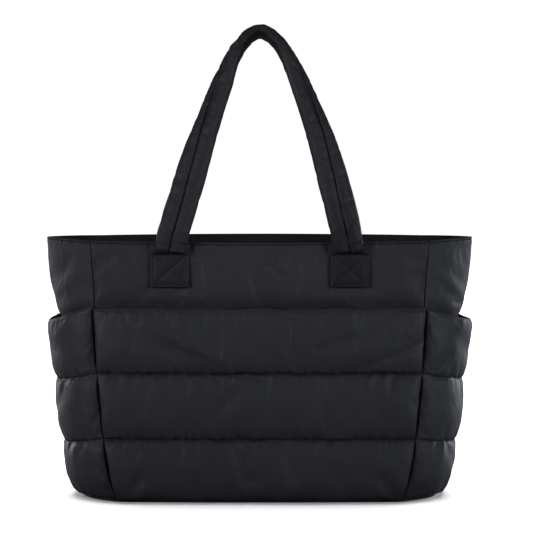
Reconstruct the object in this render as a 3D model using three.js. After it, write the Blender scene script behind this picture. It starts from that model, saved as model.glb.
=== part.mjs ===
// Puffer tote bag of black nylon: a soft body with quilted pockets round its lower part and two padded handles.
// Millimetres, +Z up, the front faces -Y. The origin is on the floor, under the middle of the bag.

import * as THREE from 'three';

// Body sizes
const bodyHeight = 287; // floor to rim, at the front seams
const panelWidth = 370; // front panel at the rim, seam to seam
const bagDepth = 142; // front seam to back seam, where the bag is deepest
const foldReach = 52.4; // how far the fold of a side reaches out beyond its seams, at the rim
const sideSpread = 1.15; // width of a side's cloth, as a share of bagDepth
const panelBow = 4; // how far the front and back panels bow outwards
const rimSag = 2; // dip of the front rim between the handles
const backLift = 1.6; // rise of the back rim at its middle
const tipLift = 1.5; // rise of the rim at the fold tips
const mitreReach = 26; // how far from a seam the layers lean into its mitre

// Cloth sizes
const wallThickness = 3; // lightly padded body cloth
const baseThickness = 3; // bottom panel
const facingThickness = 1.2; // band inside the mouth
const facingHeight = 14; // the hem of the rim, which no fold crosses
const stitchThickness = 3; // quilted cloth where it is sewn through
const foldHeight = 4; // tallest soft fold of the body cloth

// Quilted pockets
const pocketHeight = 212; // top edge of the front pocket above the floor
const pocketCrown = 13; // padding at the middle of a front channel
const pocketLip = 6.5; // padding at the open top edge of the front pocket
const pocketMouth = 8; // how far the front pocket stands open
const pocketRound = 14; // how square the padding ends at the pocket's seams: 2 is a full round
const sideCrown = 9.5; // padding at the middle of a side channel
const sideLip = 4.5; // padding at the open top edge of a side pocket
const sideMouth = 9.5; // how far a side pocket stands open
const sideRound = 5; // how square its padding ends at the seams
const sideDroop = 17; // how far a side pocket's top edge hangs at the middle of the side
const droopRound = 2.2; // how evenly that edge curves: 1 is a corner at the middle
const mouthCurve = 1.5; // how late a pocket opens towards its top
const rollSag = 2.5; // how far the padding of a channel sinks
const rollWidth = 2.2; // how wide the top of a channel's roll is: 2 is an even round
const rollFlank = 0.62; // how gently the roll's flanks rise: 0.5 is steepest
const creaseDepth = 3; // deepest soft fold in the padding

// Handles
const tabSpacing = 196; // middle to middle of the front handle's two tabs
const backTabSpacing = 208; // the same for the back handle
const tabWidth = 42;
const tabDrop = 50; // lower edge of a tab below the rim
const tabThickness = 3.5;
const strapWidth = 34;
const strapThickness = 16;
const strapSeam = 2; // depth of the seam along the middle of a strap
const tabSquare = 0.12; // roundness of a tab's section: 0 is a rectangle, 1 an oval
const strapSquare = 0.8; // roundness of a strap's section
const strapFull = 1; // below the rim, where the strap reaches its full section
const handleRise = 229.5; // middle of the strap above the rim, at the top of the arch
const handleGap = 3; // between the two handles at the top of their arches
const backRise = 2; // how much higher the back handle stands

// Clearances
const seat = 0.4; // between pieces that lie on each other
const seamGap = 0.36; // between pieces that meet edge to edge
const floorGap = 0.6; // under the sewn lower edges of the pockets
const facingGap = 0.6; // between the body cloth and the band inside the mouth

// Outline of the body: level is a share of bodyHeight, seam of half the panelWidth, depth of half the bagDepth,
// tip of half the width from fold to fold and bow of panelBow. point says how round the side's fold is: 1 is sharp.
const bodyRows = [
  { level: 0.0, seam: 0.827, depth: 0.915, tip: 0.831, bow: 0.3, point: 2.6 },
  { level: 0.035, seam: 0.847, depth: 0.965, tip: 0.851, bow: 0.5, point: 2.5 },
  { level: 0.105, seam: 0.879, depth: 0.993, tip: 0.869, bow: 0.8, point: 2.4 },
  { level: 0.237, seam: 0.91, depth: 1.0, tip: 0.896, bow: 1.0, point: 2.3 },
  { level: 0.48, seam: 0.947, depth: 0.993, tip: 0.914, bow: 1.0, point: 2.2 },
  { level: 0.592, seam: 0.959, depth: 0.986, tip: 0.917, bow: 0.9, point: 2.2 },
  { level: 0.697, seam: 0.969, depth: 0.972, tip: 0.943, bow: 0.8, point: 2.1 },
  { level: 0.836, seam: 0.984, depth: 0.951, tip: 0.982, bow: 0.7, point: 1.5 },
  { level: 1.0, seam: 1.0, depth: 0.93, tip: 1.0, bow: 0.7, point: 1.3 },
];

// Stitch lines of the quilting, upwards, as shares of pocketHeight. sag is the share of sideDroop by which the line
// hangs at the middle of a side.
const quiltLines = [
  { height: 0.0, sag: 0.0 },
  { height: 0.335, sag: 0.55 },
  { height: 0.675, sag: 0.7 },
  { height: 1.0, sag: 1.0 },
];

// Padding across a channel: the shares of its height where its surface is worked out
const channelSteps = [0, 0.1, 0.35, 0.65, 0.9, 1];

// Folds of a panel: each runs from one point to another. The across values are shares of the panel's half width, and
// the up values of bodyHeight. wide is a share of bodyHeight and high of the folding height of that cloth.
const frontBodyFolds = [
  { fromAcross: -0.2, fromUp: 0.99, toAcross: -0.23, toUp: 0.8, wide: 0.035, high: 0.7 },
  { fromAcross: -0.09, fromUp: 0.98, toAcross: -0.06, toUp: 0.84, wide: 0.03, high: -0.5 },
  { fromAcross: 0.24, fromUp: 0.97, toAcross: 0.28, toUp: 0.8, wide: 0.04, high: 0.8 },
  { fromAcross: 0.36, fromUp: 0.96, toAcross: 0.38, toUp: 0.85, wide: 0.025, high: -0.5 },
  { fromAcross: 0.44, fromUp: 0.78, toAcross: 0.82, toUp: 0.77, wide: 0.03, high: -0.6 },
  { fromAcross: -0.86, fromUp: 0.95, toAcross: -0.72, toUp: 0.8, wide: 0.04, high: 0.5 },
  { fromAcross: 0.86, fromUp: 0.92, toAcross: 0.76, toUp: 0.8, wide: 0.04, high: 0.5 },
];
const backBodyFolds = [
  { fromAcross: -0.25, fromUp: 0.98, toAcross: -0.2, toUp: 0.8, wide: 0.04, high: 0.6 },
  { fromAcross: 0.15, fromUp: 0.98, toAcross: 0.12, toUp: 0.82, wide: 0.035, high: -0.5 },
  { fromAcross: 0.78, fromUp: 0.94, toAcross: 0.7, toUp: 0.79, wide: 0.04, high: 0.5 },
];
const sideBodyFolds = [
  { fromAcross: -0.85, fromUp: 0.88, toAcross: -0.15, toUp: 0.76, wide: 0.03, high: 0.8 },
  { fromAcross: -0.7, fromUp: 0.8, toAcross: -0.1, toUp: 0.72, wide: 0.025, high: -0.6 },
  { fromAcross: 0.75, fromUp: 0.87, toAcross: 0.2, toUp: 0.77, wide: 0.03, high: 0.7 },
];
const frontPocketFolds = [
  { fromAcross: -0.94, fromUp: 0.7, toAcross: -0.42, toUp: 0.57, wide: 0.035, high: -0.8 },
  { fromAcross: -0.36, fromUp: 0.7, toAcross: 0.0, toUp: 0.6, wide: 0.04, high: -0.7 },
  { fromAcross: 0.96, fromUp: 0.7, toAcross: 0.54, toUp: 0.57, wide: 0.035, high: 0.7 },
  { fromAcross: -0.1, fromUp: 0.46, toAcross: -0.3, toUp: 0.34, wide: 0.035, high: -0.5 },
  { fromAcross: 0.45, fromUp: 0.45, toAcross: 0.6, toUp: 0.32, wide: 0.035, high: -0.5 },
  { fromAcross: -0.16, fromUp: 0.24, toAcross: -0.08, toUp: 0.1, wide: 0.03, high: -0.8 },
  { fromAcross: 0.18, fromUp: 0.24, toAcross: 0.22, toUp: 0.12, wide: 0.03, high: -0.7 },
  { fromAcross: -0.95, fromUp: 0.02, toAcross: -0.8, toUp: 0.1, wide: 0.025, high: -0.9 },
  { fromAcross: 0.95, fromUp: 0.02, toAcross: 0.82, toUp: 0.1, wide: 0.025, high: -0.9 },
];
const backPocketFolds = [
  { fromAcross: -0.5, fromUp: 0.7, toAcross: -0.15, toUp: 0.58, wide: 0.04, high: -0.7 },
  { fromAcross: 0.7, fromUp: 0.69, toAcross: 0.4, toUp: 0.56, wide: 0.035, high: -0.6 },
  { fromAcross: 0.1, fromUp: 0.44, toAcross: 0.3, toUp: 0.33, wide: 0.035, high: -0.5 },
  { fromAcross: -0.2, fromUp: 0.22, toAcross: -0.1, toUp: 0.1, wide: 0.03, high: -0.7 },
];
const sidePocketFolds = [
  { fromAcross: -0.8, fromUp: 0.68, toAcross: -0.2, toUp: 0.56, wide: 0.03, high: -0.5 },
  { fromAcross: 0.6, fromUp: 0.42, toAcross: 0.1, toUp: 0.32, wide: 0.03, high: -0.5 },
  { fromAcross: -0.5, fromUp: 0.2, toAcross: -0.1, toUp: 0.08, wide: 0.03, high: -0.5 },
];

// Arch of a handle, from the rim up: rise is a share of handleRise, spread of half the tabSpacing
const archRows = [
  { rise: 0.044, spread: 0.949 },
  { rise: 0.144, spread: 0.89 },
  { rise: 0.332, spread: 0.771 },
  { rise: 0.524, spread: 0.634 },
  { rise: 0.716, spread: 0.465 },
  { rise: 0.86, spread: 0.323 },
  { rise: 0.934, spread: 0.222 },
  { rise: 0.98, spread: 0.115 },
  { rise: 1.0, spread: 0.0 },
];
const footSpread = 0.975; // share of half the tabSpacing where the strap leaves the rim
const archLean = 0.01; // how far the arches lean to one side, as a share of their height
const leanPower = 1.25; // how late the arches lean in over the mouth
const twistPower = 1.5; // how late the straps turn from facing front to facing up

// Tab of a handle: shares of tabDrop below the rim where its section is worked out
const tabSteps = [1, 0.7, 0.4, 0.25, 0.19, 0.13, 0.07, 0];
const flatShare = 0.25; // the tab is sewn flat below this share of tabDrop

// Mesh resolution
const frontColumns = 24;
const sideColumns = 12;
const evenColumns = 0.6; // share of even spacing in the columns: less crowds them towards the seams
const lowerRows = 5;
const lowerCrowding = 1.3; // how much the rows behind a pocket crowd towards the floor
const upperRows = 6;
const strapSides = 12;
const archSteps = 36;

const halfPanel = panelWidth / 2;
const halfDepth = bagDepth / 2;
const halfTip = halfPanel + foldReach;

function clamp(value, low, high) {
  return Math.min(high, Math.max(low, value));
}

function mix(from, to, share) {
  return from + (to - from) * share;
}

function smoothStep(value, low, high) {
  const share = clamp((value - low) / (high - low), 0, 1);
  return share * share * (3 - 2 * share);
}

// A column of bodyRows at any level, on a smooth curve through the rows
function bodyValue(column, z) {
  const level = clamp(z / bodyHeight, 0, 1);
  const last = bodyRows.length - 1;
  let index = 0;
  while (index < last - 1 && level > bodyRows[index + 1].level) {
    index += 1;
  }
  const slopeAt = (row) => {
    const before = bodyRows[Math.max(row - 1, 0)];
    const after = bodyRows[Math.min(row + 1, last)];
    return (after[column] - before[column]) / (after.level - before.level);
  };
  const low = bodyRows[index];
  const high = bodyRows[index + 1];
  const span = high.level - low.level;
  const t = (level - low.level) / span;
  const startPart = (2 * t ** 3 - 3 * t ** 2 + 1) * low[column] + (t ** 3 - 2 * t ** 2 + t) * span * slopeAt(index);
  const endPart = (3 * t ** 2 - 2 * t ** 3) * high[column] + (t ** 3 - t ** 2) * span * slopeAt(index + 1);
  return startPart + endPart;
}

// Outer surface of the front panel: across goes from -1 at its left seam to 1 at its right seam
function frontPoint(across, z) {
  const x = across * halfPanel * bodyValue('seam', z);
  const bow = panelBow * bodyValue('bow', z) * (1 - across ** 2);
  return new THREE.Vector2(x, -halfDepth * bodyValue('depth', z) - bow);
}

// Outer surface of the right side: across goes from -1 at the front seam to 1 at the back seam
function sidePoint(across, z) {
  const seamX = halfPanel * bodyValue('seam', z);
  const tipX = halfTip * bodyValue('tip', z);
  const x = mix(tipX, seamX, Math.abs(across) ** bodyValue('point', z));
  return new THREE.Vector2(x, across * halfDepth * bodyValue('depth', z));
}

// Direction along a panel and the outward direction square to it, both level
function panelAxes(pointAt, across, z) {
  const step = 0.001;
  const before = pointAt(Math.max(across - step, -1), z);
  const after = pointAt(Math.min(across + step, 1), z);
  const along = after.sub(before).normalize();
  const out = new THREE.Vector2(along.y, -along.x);
  return { along, out };
}

// Lean of the seam's mitre, so that the layers of two panels meet in one plane
function mitreLean(z) {
  const front = panelAxes(frontPoint, 1, z).out;
  const side = panelAxes(sidePoint, -1, z).out;
  return Math.abs(front.cross(side)) / (1 + front.dot(side));
}

// The four panels round the bag. turn brings the front to the back and the right side to the left.
const frontWidth = (z) => panelWidth * bodyValue('seam', z);
const sideWidth = (z) => sideSpread * bagDepth * bodyValue('depth', z);
const panels = {
  front: { pointAt: frontPoint, turn: 1, width: frontWidth, rimRise: -rimSag },
  right: { pointAt: sidePoint, turn: 1, width: sideWidth, rimRise: tipLift },
  back: { pointAt: frontPoint, turn: -1, width: frontWidth, rimRise: backLift },
  left: { pointAt: sidePoint, turn: -1, width: sideWidth, rimRise: tipLift },
};

// A point of a layer: out is its distance from the body's outer surface
function layerPoint(panel, across, z, out) {
  const width = panel.width(z);
  const inset = 1 - seamGap / width;
  const place = panel.pointAt(across * inset, z);
  const axes = panelAxes(panel.pointAt, across * inset, z);
  const toSeam = (1 - Math.abs(across)) * width / 2;
  const lean = Math.sign(across) * mitreLean(z) * clamp(1 - toSeam / mitreReach, 0, 1);
  place.addScaledVector(axes.out, out);
  place.addScaledVector(axes.along, out * lean);
  return new THREE.Vector3(place.x * panel.turn, place.y * panel.turn, z);
}

// Sum of the soft folds at a point of a panel
function foldRelief(folds, across, z, width) {
  const here = new THREE.Vector2(across * width / 2, z);
  return folds.reduce((sum, fold) => {
    const start = new THREE.Vector2(fold.fromAcross * width / 2, fold.fromUp * bodyHeight);
    const run = new THREE.Vector2(fold.toAcross * width / 2, fold.toUp * bodyHeight).sub(start);
    const share = clamp(here.clone().sub(start).dot(run) / run.lengthSq(), 0, 1);
    const distance = here.distanceTo(start.addScaledVector(run, share));
    return sum + fold.high * Math.exp(-((distance / (fold.wide * bodyHeight)) ** 2));
  }, 0);
}

// Columns stand closer together near a panel's seams, where the padding turns over
function columnPlaces(count) {
  return Array.from({ length: count + 1 }, (_, index) => {
    const even = 2 * index / count - 1;
    return mix(Math.sin(even * Math.PI / 2), even, evenColumns);
  });
}

function rimHeight(panel, across) {
  return bodyHeight + panel.rimRise * (1 - across ** 2);
}

// Heights of the body cloth's rows at one column: close together above the pocket, where the cloth shows
function bodyHeights(panel, across) {
  const bottom = baseThickness + seat;
  const heights = [];
  for (let row = 0; row < lowerRows; row += 1) {
    heights.push(mix(bottom, pocketHeight, (row / lowerRows) ** lowerCrowding));
  }
  for (let row = 0; row <= upperRows; row += 1) {
    heights.push(mix(pocketHeight, rimHeight(panel, across), row / upperRows));
  }
  return heights;
}

function panelFolds(panel) {
  if (panel === panels.front) {
    return frontBodyFolds;
  }
  return panel === panels.back ? backBodyFolds : sideBodyFolds;
}

// Folds of the body cloth die out at the seams, behind the pockets and under the tabs
function bodyRelief(panel, isSide, across, z) {
  const folds = panelFolds(panel);
  const width = panel.width(z);
  const edge = 1 - across ** 8;
  const abovePocket = smoothStep(z, pocketHeight - (isSide ? sideDroop : 0), pocketHeight + 0.6 * tabDrop);
  const hem = rimHeight(panel, across) - facingHeight;
  const belowHem = 1 - smoothStep(z, hem - facingHeight, hem);
  const spacing = panel === panels.back ? backTabSpacing : tabSpacing;
  const fromTab = Math.abs(Math.abs(across * width) - spacing) / tabWidth - 1;
  const besideTab = isSide ? 1 : Math.max(smoothStep(fromTab, 0.1, 1), 1 - smoothStep(z, bodyHeight - 1.5 * tabDrop,
    bodyHeight - 1.15 * tabDrop));
  return foldHeight * foldRelief(folds, across, z, width) * edge * abovePocket * belowHem * besideTab;
}

// One closed body from the outer and the inner grid of a wall. Columns go anticlockwise round the bag, rows go up.
function wallGeometry(outer, inner) {
  const columns = outer.length - 1;
  const rows = outer[0].length - 1;
  const layer = (columns + 1) * (rows + 1);
  const at = (side, column, row) => side * layer + column * (rows + 1) + row;
  const positions = [outer, inner].flatMap((grid) => grid.flatMap((line) => line.flatMap((p) => [p.x, p.y, p.z])));
  const index = [];
  const quad = (a, b, c, d) => index.push(a, b, c, a, c, d);
  for (let c = 0; c < columns; c += 1) {
    for (let r = 0; r < rows; r += 1) {
      quad(at(0, c, r), at(0, c + 1, r), at(0, c + 1, r + 1), at(0, c, r + 1));
      quad(at(1, c, r), at(1, c, r + 1), at(1, c + 1, r + 1), at(1, c + 1, r));
    }
    quad(at(0, c, 0), at(1, c, 0), at(1, c + 1, 0), at(0, c + 1, 0));
    quad(at(0, c, rows), at(0, c + 1, rows), at(1, c + 1, rows), at(1, c, rows));
  }
  for (let r = 0; r < rows; r += 1) {
    quad(at(0, 0, r), at(0, 0, r + 1), at(1, 0, r + 1), at(1, 0, r));
    quad(at(0, columns, r), at(1, columns, r), at(1, columns, r + 1), at(0, columns, r + 1));
  }
  return meshGeometry(positions, index);
}

// One closed body through a row of rings with equal counts of points, with its ends closed or joined
function ringGeometry(rings, isLoop) {
  const sides = rings[0].length;
  const positions = rings.flatMap((ring) => ring.flatMap((p) => [p.x, p.y, p.z]));
  const index = [];
  const spans = isLoop ? rings.length : rings.length - 1;
  for (let ring = 0; ring < spans; ring += 1) {
    const here = ring * sides;
    const next = ((ring + 1) % rings.length) * sides;
    for (let side = 0; side < sides; side += 1) {
      const beside = (side + 1) % sides;
      index.push(here + side, here + beside, next + beside, here + side, next + beside, next + side);
    }
  }
  if (!isLoop) {
    const end = (rings.length - 1) * sides;
    for (let side = 1; side < sides - 1; side += 1) {
      index.push(0, side + 1, side, end, end + side, end + side + 1);
    }
  }
  return meshGeometry(positions, index);
}

function meshGeometry(positions, index) {
  const geometry = new THREE.BufferGeometry();
  geometry.setAttribute('position', new THREE.Float32BufferAttribute(positions, 3));
  geometry.setIndex(index);
  geometry.computeVertexNormals();
  return geometry;
}

function bodyPanel(panel, isSide) {
  const places = columnPlaces(isSide ? sideColumns : frontColumns);
  const gridAt = (out) => places.map((across) => bodyHeights(panel, across).map((z) => {
    const relief = bodyRelief(panel, isSide, across, z);
    return layerPoint(panel, across, z, out + relief);
  }));
  return wallGeometry(gridAt(0), gridAt(-wallThickness));
}

// Height of a quilting line at a place of the panel
function quiltHeight(line, isSide, across) {
  const droop = isSide ? sideDroop * line.sag * (1 - Math.abs(across) ** droopRound) : 0;
  return Math.max(line.height * pocketHeight - droop, floorGap);
}

// Padding over a channel, from 0 at its stitches to 1 in its middle. The open top edge keeps a part of it.
function channelFill(step, isTop, lipShare) {
  const roll = (1 - Math.abs(2 * step - 1) ** rollWidth) ** rollFlank;
  return isTop && step > 0.5 ? mix(lipShare, 1, roll) : roll;
}

function pocketPanel(panel, isSide, folds, sizes) {
  const { crown, lip, mouth, round } = sizes;
  const places = columnPlaces(isSide ? sideColumns : frontColumns);
  const lipShare = (lip - stitchThickness) / (crown - stitchThickness);
  const column = (across, wantsOuter) => {
    const edge = Math.sqrt(1 - Math.abs(across) ** round);
    const line = [];
    for (let channel = 0; channel < quiltLines.length - 1; channel += 1) {
      const low = quiltHeight(quiltLines[channel], isSide, across);
      const high = quiltHeight(quiltLines[channel + 1], isSide, across);
      const isTop = channel === quiltLines.length - 2;
      for (const step of channelSteps.slice(channel ? 1 : 0)) {
        const z = mix(low, high, step);
        const stand = seat + mouth * (1 - across ** 4) * (z / pocketHeight) ** mouthCurve;
        const fill = channelFill(step, isTop, lipShare) * edge;
        const relief = creaseDepth * foldRelief(folds, across, z, panel.width(z)) * fill;
        const padding = stitchThickness + (crown - stitchThickness) * fill + relief;
        const point = layerPoint(panel, across, z, wantsOuter ? stand + padding : stand);
        point.z -= wantsOuter ? rollSag * 4 * step * (1 - step) * edge : 0;
        line.push(point);
      }
    }
    return line;
  };
  return wallGeometry(places.map((across) => column(across, true)), places.map((across) => column(across, false)));
}

// Walks once round the bag, anticlockwise, and calls a function at each column
function aroundBag(visit) {
  return Object.values(panels).flatMap((panel, index) => {
    const isSide = index % 2 === 1;
    const places = columnPlaces(isSide ? sideColumns : frontColumns).slice(0, -1);
    return places.map((across) => visit(panel, across, isSide));
  });
}

function basePanel() {
  const outline = aroundBag((panel, across) => {
    const point = panel.pointAt(across, 0);
    return point.multiplyScalar(panel.turn);
  });
  return new THREE.ExtrudeGeometry(new THREE.Shape(outline), { depth: baseThickness, bevelEnabled: false });
}

// Band inside the mouth, one closed ring of cloth
function rimFacing() {
  const outside = -wallThickness - facingGap;
  const inside = outside - facingThickness;
  const rings = aroundBag((panel, across, isSide) => {
    const top = rimHeight(panel, across) - seat;
    const bottom = top - facingHeight;
    const corner = (z, out) => {
      const relief = bodyRelief(panel, isSide, across, z);
      return layerPoint(panel, across, z, out + relief);
    };
    return [corner(bottom, outside), corner(bottom, inside), corner(top, inside), corner(top, outside)];
  });
  return ringGeometry(rings, true);
}

// Section of a strap or tab round its middle: square is 1 for an oval and near 0 for a flat rectangle
function strapRing(centre, axes, size) {
  return Array.from({ length: strapSides }, (_, side) => {
    const angle = Math.PI / 2 + 2 * Math.PI * side / strapSides;
    const across = size.width / 2 * Math.sign(Math.cos(angle)) * Math.abs(Math.cos(angle)) ** size.square;
    const dent = side === 0 ? size.seam : 0;
    const out = size.thickness / 2 * Math.sign(Math.sin(angle)) * Math.abs(Math.sin(angle)) ** size.square - dent;
    return centre.clone().addScaledVector(axes.wide, across).addScaledVector(axes.out, out);
  });
}

// Size of a handle's section at a height: flat tab, then padded strap
function handleSize(z) {
  const fill = smoothStep(z, bodyHeight - flatShare * tabDrop, bodyHeight - strapFull);
  return {
    width: mix(tabWidth, strapWidth, fill),
    thickness: mix(tabThickness, strapThickness, fill),
    square: mix(tabSquare, strapSquare, fill),
    seam: strapSeam * fill,
  };
}

// Middle of a tab's section, lying on the panel
function footCentre(x, z) {
  const surface = frontPoint(2 * x / panels.front.width(z), z);
  const out = seat + handleSize(z).thickness / 2;
  return new THREE.Vector3(x, surface.y - out, z);
}

// A whole handle on the front panel: tab, strap and tab
function handle(spacing, rise, lean) {
  const foot = (side) => tabSteps.map((share) => {
    const spread = mix(footSpread, 1, smoothStep(share, 0, flatShare));
    return footCentre(side * spacing / 2 * spread, bodyHeight - share * tabDrop);
  });
  const rimY = footCentre(spacing / 2 * footSpread, bodyHeight).y;
  const topY = -(strapWidth + handleGap) / 2;
  const archPoint = (side, row) => {
    const x = side * mix(spacing, tabSpacing, row.rise) / 2 * row.spread;
    const sway = lean * rise * Math.sin(Math.PI * row.rise);
    return new THREE.Vector3(x + sway, mix(rimY, topY, row.rise ** leanPower), bodyHeight + row.rise * rise);
  };
  const leftFoot = foot(-1);
  const rightFoot = foot(1).reverse();
  const leftArch = archRows.map((row) => archPoint(-1, row));
  const rightArch = archRows.slice(0, -1).map((row) => archPoint(1, row)).reverse();
  const route = [leftFoot.at(-1), ...leftArch, ...rightArch, rightFoot[0]];
  const arch = new THREE.CatmullRomCurve3(route, false, 'centripetal').getPoints(archSteps).slice(1, -1);
  const centres = [...leftFoot, ...arch, ...rightFoot];
  const rings = centres.map((centre, index) => {
    const before = centres[Math.max(index - 1, 0)];
    const after = centres[Math.min(index + 1, centres.length - 1)];
    const along = after.clone().sub(before).normalize();
    const share = clamp((centre.z - bodyHeight) / rise, 0, 1);
    const facing = panelAxes(frontPoint, clamp(centre.x / halfPanel, -1, 1), bodyHeight).out;
    const front = new THREE.Vector3(facing.x * (1 - share), facing.y, 0);
    front.addScaledVector(along, -front.dot(along)).normalize();
    const outwards = along.clone().cross(front).negate();
    const turn = share ** twistPower * Math.PI / 2;
    const out = front.multiplyScalar(Math.cos(turn)).addScaledVector(outwards, Math.sin(turn));
    const wide = out.clone().cross(along);
    return strapRing(centre, { wide, out }, handleSize(centre.z));
  });
  return ringGeometry(rings, false);
}

// Materials
const nylonColor = 0x24252b;
const liningColor = 0x17171a;

const group = new THREE.Group();

function addPiece(name, geometry, color) {
  const material = new THREE.MeshStandardMaterial({ color, roughness: 0.55, metalness: 0 });
  const piece = new THREE.Mesh(geometry, material);
  piece.name = name;
  group.add(piece);
  return piece;
}

const frontSizes = { crown: pocketCrown, lip: pocketLip, mouth: pocketMouth, round: pocketRound };
const sideSizes = { crown: sideCrown, lip: sideLip, mouth: sideMouth, round: sideRound };

addPiece('base_panel', basePanel(), nylonColor);
addPiece('body_front', bodyPanel(panels.front, false), nylonColor);
addPiece('body_back', bodyPanel(panels.back, false), nylonColor);
addPiece('gusset_left', bodyPanel(panels.left, true), nylonColor);
addPiece('gusset_right', bodyPanel(panels.right, true), nylonColor);
addPiece('rim_facing', rimFacing(), liningColor);
addPiece('front_pocket', pocketPanel(panels.front, false, frontPocketFolds, frontSizes), nylonColor);
addPiece('back_pocket', pocketPanel(panels.back, false, backPocketFolds, frontSizes), nylonColor);
addPiece('side_pocket_left', pocketPanel(panels.left, true, sidePocketFolds, sideSizes), nylonColor);
addPiece('side_pocket_right', pocketPanel(panels.right, true, sidePocketFolds, sideSizes), nylonColor);
addPiece('handle_front', handle(tabSpacing, handleRise, archLean), nylonColor);
const backHandle = handle(backTabSpacing, handleRise + backRise, -archLean);
addPiece('handle_back', backHandle, nylonColor).rotation.z = Math.PI;

export default group;
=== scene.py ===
import math
import bpy
import numpy as np
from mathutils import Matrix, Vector


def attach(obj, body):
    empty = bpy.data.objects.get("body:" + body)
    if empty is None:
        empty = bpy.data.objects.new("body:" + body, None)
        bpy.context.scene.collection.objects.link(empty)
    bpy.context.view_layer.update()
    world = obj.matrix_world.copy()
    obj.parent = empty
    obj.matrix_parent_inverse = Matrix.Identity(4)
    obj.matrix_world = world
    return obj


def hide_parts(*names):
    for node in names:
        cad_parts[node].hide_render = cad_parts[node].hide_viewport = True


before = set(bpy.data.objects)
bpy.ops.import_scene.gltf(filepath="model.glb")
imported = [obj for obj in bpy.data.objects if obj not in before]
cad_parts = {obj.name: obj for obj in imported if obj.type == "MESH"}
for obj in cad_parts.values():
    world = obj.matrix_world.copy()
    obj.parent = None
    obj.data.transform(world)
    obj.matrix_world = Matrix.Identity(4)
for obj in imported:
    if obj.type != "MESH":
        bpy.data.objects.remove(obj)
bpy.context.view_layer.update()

scene = bpy.context.scene
print("frame loaded")

# A black puffer tote. Everything is in metres, the front faces -Y, and the floor is at z = 0.

bag = {
    "height": 0.287,        # floor to rim, at the front seams
    "panelWidth": 0.370,    # front panel at the rim, seam to seam
    "depth": 0.142,         # front seam to back seam, where the bag is deepest
    "tipWidth": 0.4748,     # rim, fold tip to fold tip
    "bow": 0.004,           # how far the front and back bow out
    "rimRise": {"front": -0.002, "right": 0.0015, "back": 0.0016, "left": 0.0015},  # at each panel's middle
    "mitreReach": 0.026,    # how far from a seam the layers lean into its mitre
    "wall": 0.003,          # lightly padded body cloth
    "seat": 0.0004,         # between pieces that lie on each other
    "seamGap": 0.00036,     # between pieces that meet edge to edge
    "floorGap": 0.0006,     # under the sewn lower edges of the pockets
    "cornerLift": 0.0030,   # how far the pockets' lower corners stand off the floor
}

# Outline of the body: shares of height, half panelWidth, half depth, half tipWidth and bow,
# then the side's roundness
outlineColumns = ("level", "seam", "depth", "tip", "bow", "point")
outlineRows = np.array([
    (0.0, 0.827, 0.915, 0.831, 0.3, 2.6),
    (0.035, 0.847, 0.965, 0.851, 0.5, 2.5),
    (0.105, 0.879, 0.993, 0.869, 0.8, 2.4),
    (0.237, 0.91, 1.0, 0.896, 1.0, 2.3),
    (0.48, 0.947, 0.993, 0.914, 1.0, 2.2),
    (0.592, 0.959, 0.986, 0.917, 0.9, 2.2),
    (0.697, 0.969, 0.972, 0.943, 0.8, 2.1),
    (0.836, 0.984, 0.951, 0.982, 0.7, 1.5),
    (1.0, 1.0, 0.93, 1.0, 0.7, 1.3),
])


# Small helpers

def mix(low, high, share):
    return low + (high - low) * share


def smooth(value, low, high):
    share = np.clip((value - low) / (high - low), 0, 1)
    return share * share * (3 - 2 * share)


def outlineValue(column, z):
    # One column of the outline table at any height, on a smooth curve through its rows.
    levels = outlineRows[:, 0]
    values = outlineRows[:, outlineColumns.index(column)]
    slopes = np.empty_like(values)
    slopes[1:-1] = (values[2:] - values[:-2]) / (levels[2:] - levels[:-2])
    slopes[0] = (values[1] - values[0]) / (levels[1] - levels[0])
    slopes[-1] = (values[-1] - values[-2]) / (levels[-1] - levels[-2])
    level = np.clip(np.asarray(z, float) / bag["height"], 0, 1)
    i = np.clip(np.searchsorted(levels, level, side="left") - 1, 0, len(levels) - 2)
    span = levels[i + 1] - levels[i]
    t = (level - levels[i]) / span
    start = (2 * t**3 - 3 * t**2 + 1) * values[i] + (t**3 - 2 * t**2 + t) * span * slopes[i]
    end = (3 * t**2 - 2 * t**3) * values[i + 1] + (t**3 - t**2) * span * slopes[i + 1]
    return start + end


def panelPlace(isSide, across, z):
    # Outer surface of the front panel or of the right side, seen from above.
    # across is -1 to 1 between its seams.
    seamX = bag["panelWidth"] / 2 * outlineValue("seam", z)
    seamY = bag["depth"] / 2 * outlineValue("depth", z)
    if isSide:
        tipX = bag["tipWidth"] / 2 * outlineValue("tip", z)
        return mix(tipX, seamX, np.abs(across) ** outlineValue("point", z)), across * seamY
    bow = bag["bow"] * outlineValue("bow", z) * (1 - across**2)
    return across * seamX, -seamY - bow


def panelAxes(isSide, across, z):
    # Level directions along the panel and out of it.
    step = 0.001
    beforeX, beforeY = panelPlace(isSide, np.maximum(across - step, -1), z)
    afterX, afterY = panelPlace(isSide, np.minimum(across + step, 1), z)
    alongX, alongY = afterX - beforeX, afterY - beforeY
    size = np.hypot(alongX, alongY)
    return alongX / size, alongY / size


def panelWidth(isSide, z):
    if isSide:
        return 2.3 * bag["depth"] / 2 * outlineValue("depth", z)
    return bag["panelWidth"] * outlineValue("seam", z)


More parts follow.
